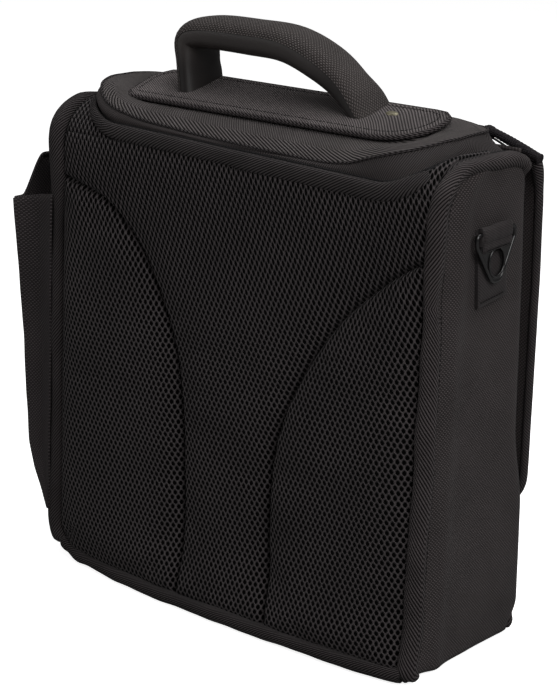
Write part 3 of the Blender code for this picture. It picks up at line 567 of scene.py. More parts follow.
def stitches(name, path, normals, body, pitch, length, radius):
    """A row of sewn stitches: short round-ended threads that lie on a surface."""
    run = lengths(path)
    count = int(run[-1] / pitch)
    normals = np.broadcast_to(np.asarray(normals, float), np.asarray(path).shape)
    points, faces, uvs = [], [], []
    for n in range(count):
        middle = (n + 0.5) * pitch
        at = np.linspace(middle - length / 2, middle + length / 2, 5)
        line = np.stack([np.interp(at, run, np.asarray(path)[:, k]) for k in range(3)], 1)
        normal = np.array([np.interp(middle, run, normals[:, k]) for k in range(3)])
        normal /= np.linalg.norm(normal)
        lift = np.array([-0.35, 0.22, 0.38, 0.22, -0.35]) * radius * 2
        line = line + normal * lift[:, None]
        _, side, upward = frames(line, normal)
        start = len(points)
        for p, s, u, k in zip(line, side, upward, (0.6, 1.0, 1.0, 1.0, 0.6)):
            for a in range(6):
                turn = a * TAU / 6
                points.append(p + (s * cos(turn) + u * sin(turn)) * radius * k)
        ring = [[start + r * 6 + c for c in range(6)] for r in range(5)]
        for r in range(4):
            for c in range(6):
                on = (c + 1) % 6
                faces.append([ring[r][on], ring[r][c], ring[r + 1][c], ring[r + 1][on]])
                uvs.append([(r, c + 1), (r, c), (r + 1, c), (r + 1, c + 1)])
        for cap in (ring[0], ring[4][::-1]):
            faces.append(cap)
            uvs.append([(0, k) for k in range(6)])
    return build(name, points, uvs, faces, THREAD, body)


def smooth_step(value):
    """0 below 0 and 1 above 1, smooth between."""
    value = np.clip(value, 0.0, 1.0)
    return value * value * (3 - 2 * value)


def rise(value, start, width):
    """0 up to start, 1 from start + width on, smooth between."""
    return smooth_step((value - start) / width)


def fall(value, end, width):
    """1 up to end - width, 0 from end on, smooth between."""
    return smooth_step((end - value) / width)


def bell(value, middle, width):
    """1 at the middle, falling off smoothly on both sides."""
    return np.exp(-((value - middle) / width) ** 2)


def past_edge(s):
    """0 on the back and 1 on the flat top of the case, by surface distance."""
    return rise(s, -35.0, 26.0)


def ripple(*args):
    """Smooth, repeatable unevenness between -1 and 1 from a few waves."""
    total = 0.0
    for k, value in enumerate(args):
        total = total + np.sin(value * 1.0 + k * 1.7) + 0.6 * np.sin(value * 2.3 + 1.1 + k) + \
            0.35 * np.sin(value * 4.7 + 2.9 * k)
    return total / (1.95 * len(args))


def rounded(corners, step=6.0):
    """Outline of a convex polygon with rounded corners (x, y, radius); step is in degrees."""
    points = []
    count = len(corners)
    for i in range(count):
        here = Vector(corners[i][:2])
        radius = corners[i][2]
        to_last = (Vector(corners[i - 1][:2]) - here).normalized()
        to_next = (Vector(corners[(i + 1) % count][:2]) - here).normalized()
        half = to_last.angle(to_next) / 2
        centre = here + (to_last + to_next).normalized() * radius / sin(half)
        start = here + to_last * radius / tan(half)
        end = here + to_next * radius / tan(half)
        a0 = atan2(start.y - centre.y, start.x - centre.x)
        a1 = atan2(end.y - centre.y, end.x - centre.x)
        turn = (a1 - a0 + pi) % TAU - pi
        parts = max(1, round(abs(degrees(turn)) / step))
        for k in range(parts + 1):
            angle = a0 + turn * k / parts
            points.append((centre.x + radius * cos(angle), centre.y + radius * sin(angle)))
    return points


def side_outline(inset):
    """The side's outline in (y, z), moved inwards by inset."""
    corners = [(0.0, BASE_Z, 8.0), (0.0, HEIGHT, BACK_RADIUS), (TOP_FLAT_END, HEIGHT, 60.0),
               (DEPTH_TOP, FRONT_TOP_Z, 8.0), (DEPTH_BASE, BASE_Z, 8.0)]
    count = len(corners)
    centre = Vector((DEPTH_BASE / 2, HEIGHT / 2))
    moved = []
    for i in range(count):
        a = Vector(corners[i][:2])
        b = Vector(corners[(i + 1) % count][:2])
        along = (b - a).normalized()
        normal = Vector((along.y, -along.x))
        if normal.dot(centre - a) < 0:
            normal = -normal
        moved.append((a + normal * inset, along))
    result = []
    for i in range(count):
        p, u = moved[i - 1]
        q, v = moved[i]
        t = ((q - p).x * v.y - (q - p).y * v.x) / (u.x * v.y - u.y * v.x)
        cross = p + u * t
        result.append((cross.x, cross.y, max(corners[i][2] - inset, 1.0)))
    return rounded(result)


TOP_FALL = atan2(HEIGHT - FRONT_TOP_Z, DEPTH_TOP - TOP_FLAT_END)
S_FLAT = TOP_FLAT_END - BACK_RADIUS
QUARTER = BACK_RADIUS * pi / 2
ZIP_S_FRONT = S_FLAT + (94.0 - TOP_FLAT_END) / cos(TOP_FALL)


def foot_swell(x):
    """How far the padded back stands out over its bottom tape."""
    if x < 0:
        return FOOT_SWELL * max(1.0 - (x / 150.0) ** 2, 0.0)
    return FOOT_SWELL * (1.0 - 0.64 * (x / 163.0) ** 4)


def foot_push(x, z):
    """The same at a height over the floor."""
    return foot_swell(x) * 0.8 * exp(-(z / 34.0) ** 2)


def skin(x, s, h=0.0):
    """Point at x and surface distance s, standing h above the outer surface."""
    if s > S_FLAT:
        run = s - S_FLAT
        return (x, TOP_FLAT_END + run * cos(TOP_FALL) + h * sin(TOP_FALL),
                HEIGHT - run * sin(TOP_FALL) + h * cos(TOP_FALL))
    if s >= 0:
        return (x, BACK_RADIUS + s, HEIGHT + h)
    if s > -QUARTER:
        angle = -s / BACK_RADIUS
        return (x, BACK_RADIUS - (BACK_RADIUS + h) * sin(angle),
                HEIGHT - BACK_RADIUS + (BACK_RADIUS + h) * cos(angle))
    z = HEIGHT - BACK_RADIUS + s + QUARTER
    return (x, -h - foot_push(x, z), z)


def lean(x, s):
    """The skew of the lid, in surface distance: up at the left, down at the right, gone at the front."""
    return SKEW * -x * (1.15 - 1.15 * rise(s, -30.0, 60.0))


# --- mesh back

SEAM_LEFT = spline([(-34, 4), (-34, 22), (-36, 80), (-39, 136), (-47, 184), (-65, 224), (-85, 253),
                    (-113, 276), (-140, 285), (-160, 289)], 14)
SEAM_RIGHT = spline([(48, 4), (47, 22), (42, 84), (45, 134), (61, 180), (91, 227), (128, 262),
                     (160, 283), (172, 289)], 14)
MESH_TOP = 322.0
EDGE_X = 158.0              # where the net ends under the side bindings
PAD_SWELL, BACK_SWELL = 8.2, 5.4


def to_s(z):
    """Surface distance of a height on the flat back."""
    return z - (HEIGHT - BACK_RADIUS) - QUARTER


def seam_distance(x, z, seam):
    """Distance from points to a polyline."""
    a, b = seam[:-1], seam[1:]
    d = b - a
    p = np.stack((x, z), -1)[..., None, :]
    t = np.clip(((p - a) * d).sum(-1) / (d * d).sum(-1), 0, 1)
    near = a + d * t[..., None]
    return np.sqrt(((p - near) ** 2).sum(-1)).min(-1)


def puff_field():
    """How far the padded back swells: a pinned sheet under pressure, by cloth simulation."""
    foot, head = 8.0, 330.0
    xs = np.linspace(-EDGE_X, EDGE_X, 80)
    heights = np.linspace(foot, head, 82)
    gx, gz = np.meshgrid(xs, heights)
    near = np.minimum(seam_distance(gx, gz, SEAM_LEFT), seam_distance(gx, gz, SEAM_RIGHT))
    border = np.minimum(np.minimum(gx + EDGE_X, EDGE_X - gx), np.minimum(gz - foot, head - gz))
    near = np.minimum(near, border)
    points = np.stack((gx, gx * 0.0, gz), -1).reshape(-1, 3) * MM
    rows, cols = gx.shape
    faces = [[i * cols + k, i * cols + k + 1, (i + 1) * cols + k + 1, (i + 1) * cols + k]
             for i in range(rows - 1) for k in range(cols - 1)]
    mesh = bpy.data.meshes.new("puff_sheet")
    mesh.from_pydata(points.tolist(), [], faces)
    sheet = put("puff_sheet", mesh)
    pin = sheet.vertex_groups.new(name="pin")
    pin.add([int(k) for k in np.nonzero(near.ravel() < 2.6)[0]], 1.0, "REPLACE")
    cloth = sheet.modifiers.new("cloth", "CLOTH")
    setup = cloth.settings
    setup.vertex_group_mass = "pin"
    setup.use_pressure = True
    setup.uniform_pressure_force = 4.0
    setup.tension_stiffness = 8.0
    setup.compression_stiffness = 8.0
    setup.bending_stiffness = 0.3
    setup.shrink_min = -0.03
    setup.quality = 6
    setup.effector_weights.gravity = 0.0
    scene = bpy.context.scene
    last = 20
    cloth.point_cache.frame_start = 1
    cloth.point_cache.frame_end = last
    for number in range(1, last + 1):
        scene.frame_set(number)
    graph = bpy.context.evaluated_depsgraph_get()
    made = sheet.evaluated_get(graph).data
    co = np.zeros(len(made.vertices) * 3, np.float32)
    made.vertices.foreach_get("co", co)
    swell = np.abs(co.reshape(-1, 3)[:, 1]).reshape(gx.shape) / MM
    scene.frame_set(1)
    bpy.data.objects.remove(sheet, do_unlink=True)
    swell = np.where(np.isfinite(swell), swell, 0.0)
    swell = np.clip(swell, 0.0, 16.0)
    return xs, heights, swell / max(float(np.percentile(swell, 98)), 1e-6)


PUFF_X, PUFF_Z, PUFF = puff_field()


def bilinear(x, z):
    """The simulated swell, 0 to about 1, at points of the back."""
    i = np.clip(np.interp(z, PUFF_Z, np.arange(len(PUFF_Z))), 0, len(PUFF_Z) - 1.001)
    k = np.clip(np.interp(x, PUFF_X, np.arange(len(PUFF_X))), 0, len(PUFF_X) - 1.001)
    i0, k0 = i.astype(int), k.astype(int)
    fi, fj = i - i0, k - k0
    return ((PUFF[i0, k0] * (1 - fj) + PUFF[i0, k0 + 1] * fj) * (1 - fi)
            + (PUFF[i0 + 1, k0] * (1 - fj) + PUFF[i0 + 1, k0 + 1] * fj) * fi)


def swell_at(x, s, full):
    """Height of the padded back above its seams at (x, s)."""
    z = s + (HEIGHT - BACK_RADIUS) + QUARTER
    near = np.minimum(seam_distance(x, z, SEAM_LEFT), seam_distance(x, z, SEAM_RIGHT))
    edge = np.minimum(EDGE_X - np.abs(x), z - 8.0)
    blown = 1.0 - np.exp(-3.2 * bilinear(x, np.minimum(z, 325.0)))
    plump = 1.0 - np.exp(-np.minimum(near, edge) / 6.5)
    top = 1.0 - rise(z, 285.0, 50.0)
    height = full * (0.45 * blown + 0.55 * plump) * (0.25 + 0.75 * top)
    pucker = 0.28 * np.sin(z * 0.9 + x * 0.55) * np.exp(-near / 5.0)
    groove = -2.4 * np.exp(-(near / 1.5) ** 2)
    return height + groove + pucker + 0.35 * ripple(x * 0.045, z * 0.038)


def back_piece(name, rows, full, nodes, fixed=0):
    """A padded piece of the back over rows of (x, s); the net keeps its place in one column."""
    made, marks = [], []
    for row in rows:
        x = np.array([p[0] for p in row], float)
        s = np.array([p[1] for p in row], float)
        lift = swell_at(x, s, full)
        made.append([skin(a, b, c) for a, b, c in zip(x, s, lift)])
        arc = lengths(np.stack((x, lift), 1))
        arc = arc - arc[fixed] + x[fixed]
        low = 1.0 - rise(s, -100.0, 30.0)
        marks.append([(a + (b - a) * k, c) for a, b, k, c in zip(x, arc, low, s)])
    obj = surface(name, made, lambda r, c: marks[r][c], AIR_MESH, "case", thick=2.5)
    if nodes:
        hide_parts(*nodes)
    return obj


def make_back():
    ease = (1 - np.cos(np.linspace(0, pi, 64))) / 2
    left, right = (resample(seam[(seam[:, 1] > 8.5) & (np.abs(seam[:, 0]) < 157.0)], 2.6)
                   for seam in (SEAM_LEFT, SEAM_RIGHT))
    rows = [[(-EDGE_X + (x + EDGE_X) * t, to_s(z)) for t in ease] for x, z in left]
    back_piece("lumbar_pad_left_mesh", rows, PAD_SWELL, ["lumbar_pad_left"])
    rows = [[(x + (EDGE_X - x) * t, to_s(z)) for t in ease] for x, z in right]
    back_piece("lumbar_pad_right_mesh", rows, PAD_SWELL, ["lumbar_pad_right"], fixed=-1)
    heights = np.concatenate((left[:, 1], right[:, 1], np.arange(286, MESH_TOP, 2.5)))
    heights = np.unique(np.round(heights, 1))
    heights = heights[np.concatenate(([True], np.diff(heights) > 0.45))]
    ease = (1 - np.cos(np.linspace(0, pi, 110))) / 2
    rows = []
    for z in heights:
        x0 = np.interp(z, left[:, 1], left[:, 0]) if z <= left[-1, 1] else -EDGE_X
        x1 = np.interp(z, right[:, 1], right[:, 0]) if z <= right[-1, 1] else EDGE_X
        rows.append([(x0 + (x1 - x0) * t, to_s(z)) for t in ease])
    back_piece("back_mesh", rows, BACK_SWELL, ["back_panel", "lumbar_pad_middle"], fixed=55)
    for side, sign, radius, middle in (("left", -1, 50.0, (107.0, 5.0)),
                                       ("right", 1, 46.0, (115.5, 0.0))):
        rows = []
        for s in np.arange(to_s(heights[-1]), 30.0, 2.5):
            drop = max(middle[1] - s, 0.0)
            inner = middle[0] + sqrt(max(radius ** 2 - min(drop, radius) ** 2, 0.0)) - 6.0
            inner = min(inner, EDGE_X - 3.0)
            rows.append([(sign * (inner + (EDGE_X - inner) * t), s) for t in np.linspace(0, 1, 24)])
        if sign < 0:
            rows = [row[::-1] for row in rows]
        back_piece("back_mesh_corner_" + side, rows, BACK_SWELL, [])


make_back()


# --- sides and bindings

def front_swell(z):
    """How far the soft front stands out of its plane, most of all low down."""
    return 2.0 + 10.4 * fall(z, 152.0, 60.0) * rise(z, 2.0, 22.0)


def span_at(outline, z):
    """Lowest and highest y of a closed outline at a height."""
    found = []
    for (y0, z0), (y1, z1) in zip(outline, outline[1:] + outline[:1]):
        if (z0 - z) * (z1 - z) <= 0 and z0 != z1:
            found.append(y0 + (y1 - y0) * (z - z0) / (z1 - z0))
    return min(found), max(found)


def make_side(side, sign):
    """Side cloth: sags a little, rolls in under the back binding and follows the front's swell."""
    outline = side_outline(6.0)
    heights = np.linspace(3.0, 336.6, 112)
    rows, marks = [], []
    for z in heights:
        y0, y1 = span_at(outline, max(z, 8.7))
        y1 += front_swell(z)
        y0 -= foot_push(sign * 162.0, z) if sign > 0 else 0.0
        row, mark = [], []
        for t in np.linspace(0, 1, 46):
            y = y0 + (y1 - y0) * t ** 1.25
            near = min(y - y0, y1 - y, 342.0 - z)
            sag = -1.6 * smooth_step(near / 38.0) * sin(pi * z / 340)
            roll = -4.6 * (1 - rise(y, y0, 23.0)) ** 1.3 * min(z / 25.0, 1.0)
            pull = -1.0 * exp(-(y1 - y) / 4.0) - 1.2 * exp(-z / 5.0)
            ridge = 1.7 * exp(-((y - y0 - 24.0 - 3.0 * ripple(z * 0.02, 1.0)) / 7.0) ** 2)
            drift = 0.8 * ripple(y * 0.05 + z * 0.014, z * 0.021 + y * 0.02)
            low = z - 2.2 * exp(-z / 6.0) * (1.0 - rise(y, 15.0, 40.0))
            row.append((sign * (HALF + 1.0 + sag + roll + pull + ridge + drift), y, low))
            mark.append((y, z))
        rows.append(row)
        marks.append(mark)
    obj = surface("side_cloth_" + side, rows, lambda r, c: marks[r][c], SIDE_WEAVE, "case",
                  flip=sign < 0, thick=3.0)
    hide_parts("side_panel_" + side)


def make_binding(side, sign):
    """Soft tape all round a side, thin at the front and under the base, with its stitches."""
    loop = np.array([(sign * BINDING_X, y, z) for y, z in side_outline(3.0)])
    loop = resample(loop, 2.2, closed=True)
    run = lengths(loop)
    centre = np.array((sign * BINDING_X, 55.0, 172.0))
    outward = loop - centre
    tangent, _, _ = frames(loop, (sign, 0, 0), closed=True)
    normal = np.cross(tangent, (1.0, 0, 0))
    normal *= np.sign((normal * outward).sum(1))[:, None]
    y, z = loop[:, 1], loop[:, 2]
    top = rise(z, 318.0, 20.0) * (1.0 if sign > 0 else 0.4)
    front = rise(y, 80.0, 18.0) * np.maximum(fall(z, 334.0, 10.0), 0.15)
    floor = rise(y, 6.0, 10.0) * fall(z, 16.0, 8.0)
    back = fall(y, 40.0, 14.0)
    narrow = 0.26 * bell(z, NECK_Z, 22.0) * back
    fat = 1.0 + (0.16 if sign < 0 else 0.0) * back
    width = (6.6 + 0.45 * ripple(run * 0.05)) * (1.0 - narrow) * fat
    width = width * (1.0 - 0.70 * front) * (1.0 - 0.85 * floor * (1 - front)) * (1.0 - 0.14 * top)
    shift = normal * (0.9 * ripple(run * 0.033) - 3.2 * front - 3.6 * floor - 2.4 * top)[:, None]
    shift[:, 0] += sign * (1.3 + 0.9 * ripple(run * 0.027 + 2.0) - 2.2 * front - 1.5 * floor)
    shift[:, 1] += front_swell(z) * front
    if sign > 0:
        shift[:, 1] -= np.array([foot_push(162.0, level) for level in z]) * back
    bulge = bell(z, 324.0, 28.0) * back
    shift[:, 0] += sign * (5.6 * bulge if sign < 0 else -1.6 * bell(z, NECK_Z, 30.0) * back)
    path = loop + shift
    shape = oval(1.0, 1.0, 22, 2.15)
    shape[:, 1] *= 1.0 - 0.12 * shape[:, 0]
    rows = []
    for p, n, w, r in zip(path, normal, width, run):
        twist = 0.35 * sin(r * 0.021 + 0.6)
        c, s = cos(twist), sin(twist)
        rows.append([p + np.array((sign, 0, 0)) * (a * c - b * s) * w + n * (a * s + b * c) * w * 0.92
                     for a, b in shape])
    around = lengths(shape, True) * 6.0
    run = np.append(run, run[-1] + 2.2)
    if sign > 0:
        run = np.abs(run - run[int(np.argmin(np.abs(z - NECK_Z) + y))])
    # the left binding gets the darker tape: painted shade
    obj = surface("side_binding_tape_" + side, rows, lambda r, c: (run[r], around[c] - 12.0),
                  BIND_TWILL if sign > 0 else BIND_TWILL_SHADED, "case", wrap=True, flip=sign > 0,
                  close=True)
    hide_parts("side_binding_" + side)
    keep = (y < 60.0) & (z > 16.0) & (z < 330.0)
    line, turn = path[keep], normal[keep]
    start = int(np.argmax(np.linalg.norm(np.diff(line, axis=0), axis=1)))
    if np.linalg.norm(line[start + 1] - line[start]) > 10.0:
        line = np.vstack((line[start + 1:], line[:start + 1]))
        turn = np.vstack((turn[start + 1:], turn[:start + 1]))
    line = line + turn * -4.4
    line[:, 0] += sign * 4.6
    stitches("side_stitches_" + side, line, (sign, 0, 0), "case", 3.4, 2.4, 0.3)


def make_bottom():
    """Tapes along the bottom's long edges, the bottom itself and the tapes' folded ends."""
    for name, y, node in (("bottom_tape_back", 2.2, "bottom_binding_back"),
                          ("bottom_tape_front", 117.4, "bottom_binding_front")):
        x = np.linspace(-161.0, 161.0, 140)
        z = 6.4 + 0.5 * ripple(x * 0.03) - 1.1 * np.clip(1.0 - (x / 150.0) ** 2, 0.0, 1.0)
        size = 1.0 + 0.10 * np.asarray(ripple(x * 0.055)) + 0.16 * bell(x, -134.0, 7.0) \
            + 0.38 * bell(x, -158.0, 9.0)
        out = np.array([foot_swell(v) for v in x]) * (-1.0 if y < 60 else 0.2)
        path = np.stack((x, y + out + 0.6 * ripple(x * 0.03 + 1.0), z), 1)
        # the bottom tapes get the darker tape: painted shade
        obj = sweep(name, path, oval(5.6, 5.0, 20), BIND_TWILL_SHADED, "case", scale=size)
        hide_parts(node)
    rows = [[(x, y - foot_swell(x) * max(1 - y / 40.0, 0.0),
              0.4 + 0.4 * ripple(x * 0.03, y * 0.05) + 3.4 * rise(abs(x), 140.0, 22.0))
             for x in np.linspace(-163, 163, 60)] for y in np.linspace(3, 117, 24)]
    base = surface("bottom_cloth", rows, flat_uv(rows, 0, 1), BALLISTIC, "case", flip=True, thick=3.2)
    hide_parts("bottom_panel")
    for sign in (-1, 1):
        path = [(sign * 161.5, 119.0, z) for z in np.linspace(3.0, 22.0, 12)]
        sweep("corner_knob_%s" % ("right" if sign > 0 else "left"), path, oval(3.6, 4.2, 14),
                     BIND_TWILL, "case", up=(1, 0, 0),
                     scale=np.array([0.7, 0.95, 1.1, 1.15, 1.1, 1.0, 0.95, 0.9, 0.8, 0.7, 0.6, 0.45]))


for _side, _sign in SIDES:
    make_side(_side, _sign)
    make_binding(_side, _sign)
make_bottom()


# --- opening rim and zip

def loop_path(left, right, front, closed=False):
    """Loop in (x, s) from the left zip end round the back to the right one.

    left and right are (half width, back, radius at the back, radius at the front).
    """
    parts = 10

    def half(half_width, back, r_back, r_front):
        side = [(ZIP_END_X, front), ((ZIP_END_X + half_width - r_front) / 2, front),
                (half_width - r_front, front)]
        for k in range(1, parts + 1):
            angle = radians(90 - 90 * k / parts)
            side.append((half_width - r_front + r_front * cos(angle),
                         front - r_front + r_front * sin(angle)))
        low, high = front - r_front, back + r_back
        side += [(half_width, low + (high - low) * k / 12) for k in range(1, 12)]
        for k in range(parts + 1):
            angle = radians(-90 * k / parts)
            side.append((half_width - r_back + r_back * cos(angle),
                         back + r_back + r_back * sin(angle)))
        return side + [((half_width - r_back) * k / 12, back) for k in range(11, 0, -1)]

    path = [(-x, s) for x, s in half(*left)] + [(0.0, (left[1] + right[1]) / 2)] + half(*right)[::-1]
    if closed:
        path += [(ZIP_END_X - 2 * ZIP_END_X * k / 20, front) for k in range(1, 20)]
    return path


def zip_path(offset):
    """The line of the zip, moved outwards by offset."""
    left = (152.0 + offset, -34.8 - offset, 38.0 + offset, 20.0 + offset)
    right = (152.0 + offset, -34.8 - offset, 38.0 + offset, 9.0 + offset)
    return [(x + 7.5 * rise(x, 112.0, 38.0) * rise(s, 8.0, 50.0), s)
            for x, s in loop_path(left, right, ZIP_S_FRONT + offset)]


def make_rim():
    """Wide twill tape round the opening, outside the zip."""
    inner = zip_path(1.2)
    outer = loop_path((157.0, -45.0, 50.0, 24.0), (162.0, -46.0, 46.0, 13.0), ZIP_S_FRONT + 6.5)
    profile = [(0.0, -3.5), (-0.05, 0.2), (0.0, 1.9), (0.08, 3.0), (0.20, 3.6), (0.38, 3.6), (0.58, 3.2),
               (0.78, 2.7), (0.92, 2.2), (1.0, 1.4), (1.02, -1.5)]
    rows = []
    for k, ((x0, s0), (x1, s1)) in enumerate(zip(inner, outer)):
        row = []
        top = past_edge(s0)
        for t, h in profile:
            x, s = x0 + (x1 - x0) * t, s0 + (s1 - s0) * t
            lift = h * (1.0 - 0.72 * top) - 1.6 * top * (1 - t) - (2.2 * top if x0 > 140.0 else 0.0)
            row.append(skin(x, s + lean(x, s), lift + 0.25 * ripple(k * 0.35)))
        rows.append(row)
    run = lengths([r[4] for r in rows])
    across = lengths([(t * 15, h) for t, h in profile])
    obj = surface("rim_tape", rows, lambda r, c: (run[r], across[c]), RIM_TWILL, "case", flip=True,
                  thick=1.0)
    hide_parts("opening_rim")


def make_coil(name, offset, node, body):
    path = [skin(x, s + lean(x, s), 0.3 - 2.2 * past_edge(s))
            for x, s in resample(zip_path(offset), 1.6)]
    size = 1.0 + 0.18 * np.cos(np.arange(len(path)) * pi)
    obj = sweep(name, path, oval(0.75, 0.7, 8), COIL, body, scale=size)
    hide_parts(node)


make_rim()
make_coil("zip_teeth_body", 0.9, "zip_coil_body", "case")
make_coil("zip_teeth_lid", -0.9, "zip_coil_lid", "lid")


# --- lid

def lid_edge(inset=0.0, lift=0.0):
    """The lid's upper edge, all the way round, higher at the left as the real one is."""
    left = (151.0 - inset, 8.8 + inset, 35.0 - inset, 18.0 - inset)
    right = (145.5 - inset, 8.8 + inset, 38.0 - inset, 18.0 - inset)
    path = loop_path(left, right, 91.0 - inset, closed=True)
    run = lengths(path)
    middle = run[next(k for k, (x, _) in enumerate(path) if x == 0.0)]
    return [(x, y, edge_height(run[k] - middle) + lift) for k, (x, y) in enumerate(path)]


def edge_height(run):
    """Height of the lid's edge at a distance along it from the middle of the back."""
    if run < 0:
        return float(np.interp(-run, EDGE_LEFT[0], EDGE_LEFT[1]))
    return float(np.interp(run, EDGE_RIGHT[0], EDGE_RIGHT[1]))


def deck_z(y):
    """Height of the lid's sloped top."""
    return DECK_Z + SLOPE * (y - DECK_Y)


def deck_edge(inset=0.0, lift=0.0):
    """Outline on the lid's sloped top where the platform is sewn on."""
    side = (122.0 - inset, DECK_Y + inset, 21.0, 21.0)
    path = loop_path(side, side, 76.0 - inset, closed=True)
    return [(x, y, deck_z(y) + lift) for x, y in path]


def make_gusset():
    """Upright wall of zip tape between the zip and the lid's edge."""
    low = [skin(x, s + lean(x, s), -0.4 - 2.4 * past_edge(s)) for x, s in zip_path(-1.4)]
    high = lid_edge(0.0, 0.0)[:len(low)]
    inner_low = [skin(x, s + lean(x, s), -3.0) for x, s in zip_path(-4.0)]
    inner_high = lid_edge(2.4, -0.4)[:len(low)]
    rows = []
    for a, b, c, d in zip(low, high, inner_high, inner_low):
        a, b, c, d = (np.array(p) for p in (a, b, c, d))
        plan = np.array((b[0] * 0.4, b[1] - 50.0, 0.0))
        plan /= np.linalg.norm(plan)
        swell = 1.3 + 2.4 * rise(-b[0], 100.0, 45.0)
        swell -= 3.6 * rise(b[0], 118.0, 20.0) * rise(b[1], 55.0, 25.0)
        row = [a + (b - a) * t + plan * swell * sin(pi * t) for t in np.linspace(0, 1, 8)]
        rows.append(row + [c, d])
    run = lengths([r[3] for r in rows])
    across = [lengths(r[::-1])[::-1] for r in rows]
    obj = surface("zip_tape_wall", rows, lambda r, c: (run[r], across[r][c % len(across[r])]),
                  ZIP_TAPE, "lid", wrap=True, flip=True, caps=True)
    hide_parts("lid_gusset")


def make_lid():
    """The lid's ribbed skirt from its edge up to the platform, and the strip under that."""
    edge = [np.array(p) for p in lid_edge(0.0, 0.0)]
    deck = [np.array(p) for p in deck_edge(0.0, 0.2)]
    steps = np.linspace(0, 1, 18)
    rows = []
    for k, (e, d) in enumerate(zip(edge, deck)):
        row = []
        flat = np.linalg.norm((d - e)[:2])
        for t in steps:
            plan = e + (d - e) * t
            crown = sin(pi * min(t * 1.05, 1.0)) ** 0.8 * min(flat / 20.0, 1.0)
            plan[2] += crown * 1.7 + 0.5 * ripple(k * 0.21, t * 5.0) * sin(pi * t)
            if t > 0:
                plan[:2] = (e + (d - e) * (t ** 1.12))[:2]
            row.append(tuple(plan))
        rows.append(row)
    run = lengths([r[2] for r in rows], True)
    across = [lengths(r) for r in rows]
    skirt = surface("lid_cloth", rows, lambda r, c: (run[r], across[r % len(rows)][c]),
                    LID_CLOTH, "lid", flip=True, close=True, thick=2.2)
    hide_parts("lid_panel")
    middle = [deck_edge(k, -0.4) for k in (-1.0, 6.0, 14.0)]
    surface("lid_deck", middle, lambda r, c: (middle[r][c % len(middle[r])][0], r * 7.0),
            LID_CLOTH, "lid", wrap=True, thick=2.0)


def make_welt():
    """Thin fold where the lid cloth meets the zip tape."""
    path = resample(lid_edge(-0.4, -0.1), 2.5, closed=True)
    sweep("lid_edge_fold", path, oval(0.9, 1.0, 10), RIM_TWILL, "lid", closed=True)


def platform_rings():
    """Outlines of the platform from its underside to its top, on the sloped plane of the deck."""
    tilt = atan(SLOPE)
    left, right, depth = -125.0, 124.5, 47.0 / cos(tilt)
    rings = []
    for inset, up in ((1.6, 0.2), (0.3, 1.0), (-0.4, 2.4), (-0.2, 3.7), (0.8, 4.8),
                      (2.2, 5.3), (3.6, 5.1), (5.0, 5.0), (9.0, 5.4), (12.0, 5.6)):
        corners = [(x, t, max(radius - inset, 1.2)) for x, t, radius in (
            (left + inset, inset, 6.0), (right - inset, inset, 33.0),
            (right - inset, depth - inset, 13.0), (left + 5.0 + inset, depth - inset, 6.0),
            (left - 4.0 + inset, depth * 0.72, 5.0))]
        rings.append([(x, DECK_Y + t * cos(tilt) - up * sin(tilt),
                       DECK_Z + t * sin(tilt) + up * cos(tilt)) for x, t in rounded(corners)])
    count = min(len(ring) for ring in rings)
    return [[tuple(p) for p in resample(ring, None, True, count)] for ring in rings]


def make_platform():
    rings = platform_rings()
    count = len(rings[0])
    faces, _ = sheet_faces(rings, wrap=True)
    points = [p for ring in rings for p in ring]
    faces.append(list(range((len(rings) - 1) * count, len(rings) * count)))
    faces.append(list(range(count))[::-1])
    uvs = [[(points[i][0], points[i][1] + points[i][2] * 0.6) for i in face] for face in faces]
    obj = build("handle_platform_cloth", points, uvs, faces, PLATFORM_TWILL, "lid")
    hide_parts("handle_platform")
    ring = resample(rings[2], 2.0, closed=True)
    ring[:, 2] += 0.6
    sweep("platform_piping", ring, oval(1.5, 1.7, 14), BIND_TWILL, "lid", closed=True)
    line = resample(rings[7], 2.0, closed=True)
    line[:, 2] += 0.1
    stitches("platform_stitches", line, (0, -0.27, 0.96), "lid", 3.0, 2.2, 0.28)


def make_rivet():
    low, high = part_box("handle_rivet")
    centre = (low + high) / 2 / MM
    centre = np.array((centre.x + 3.4, centre.y - BACK_Y - 4.0, centre.z - 0.1))
    tilt = atan(SLOPE)
    normal = np.array((0, -sin(tilt), cos(tilt)))
    along = np.array((0, cos(tilt), sin(tilt)))
    profile = [(5.0, -1.6), (5.0, -0.4), (4.7, 0.2), (4.0, 0.6), (2.8, 0.8), (1.4, 0.9), (0.6, 0.95)]
    rows = []
    for r, h in profile:
        rows.append([centre + np.array((1.0, 0, 0)) * r * cos(a)
                     + along * r * 0.62 * sin(a) + normal * h for a in np.arange(28) / 28 * TAU])
    obj = surface("rivet_cap", rows, lambda r, c: (c, r), BRASS, "lid", wrap=True, caps=True)
    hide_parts("handle_rivet")


make_gusset()
make_lid()
make_welt()
make_platform()
make_rivet()


# --- handle

# The handle's middle line (x, z) from its left foot to its right one, and its thickness there.
ROUTE = [(-80.5, 351.0, 14.5), (-82.3, 362.0, 14.5), (-84.8, 376.0, 15.5), (-84.9, 390.4, 19.6),
         (-70.0, 395.6, 22.3), (-34.0, 396.0, 23.4), (0.0, 394.6, 23.8), (30.0, 384.5, 23.0),
         (52.5, 370.6, 18.5), (66.0, 359.0, 12.0), (71.5, 351.0, 9.0)]


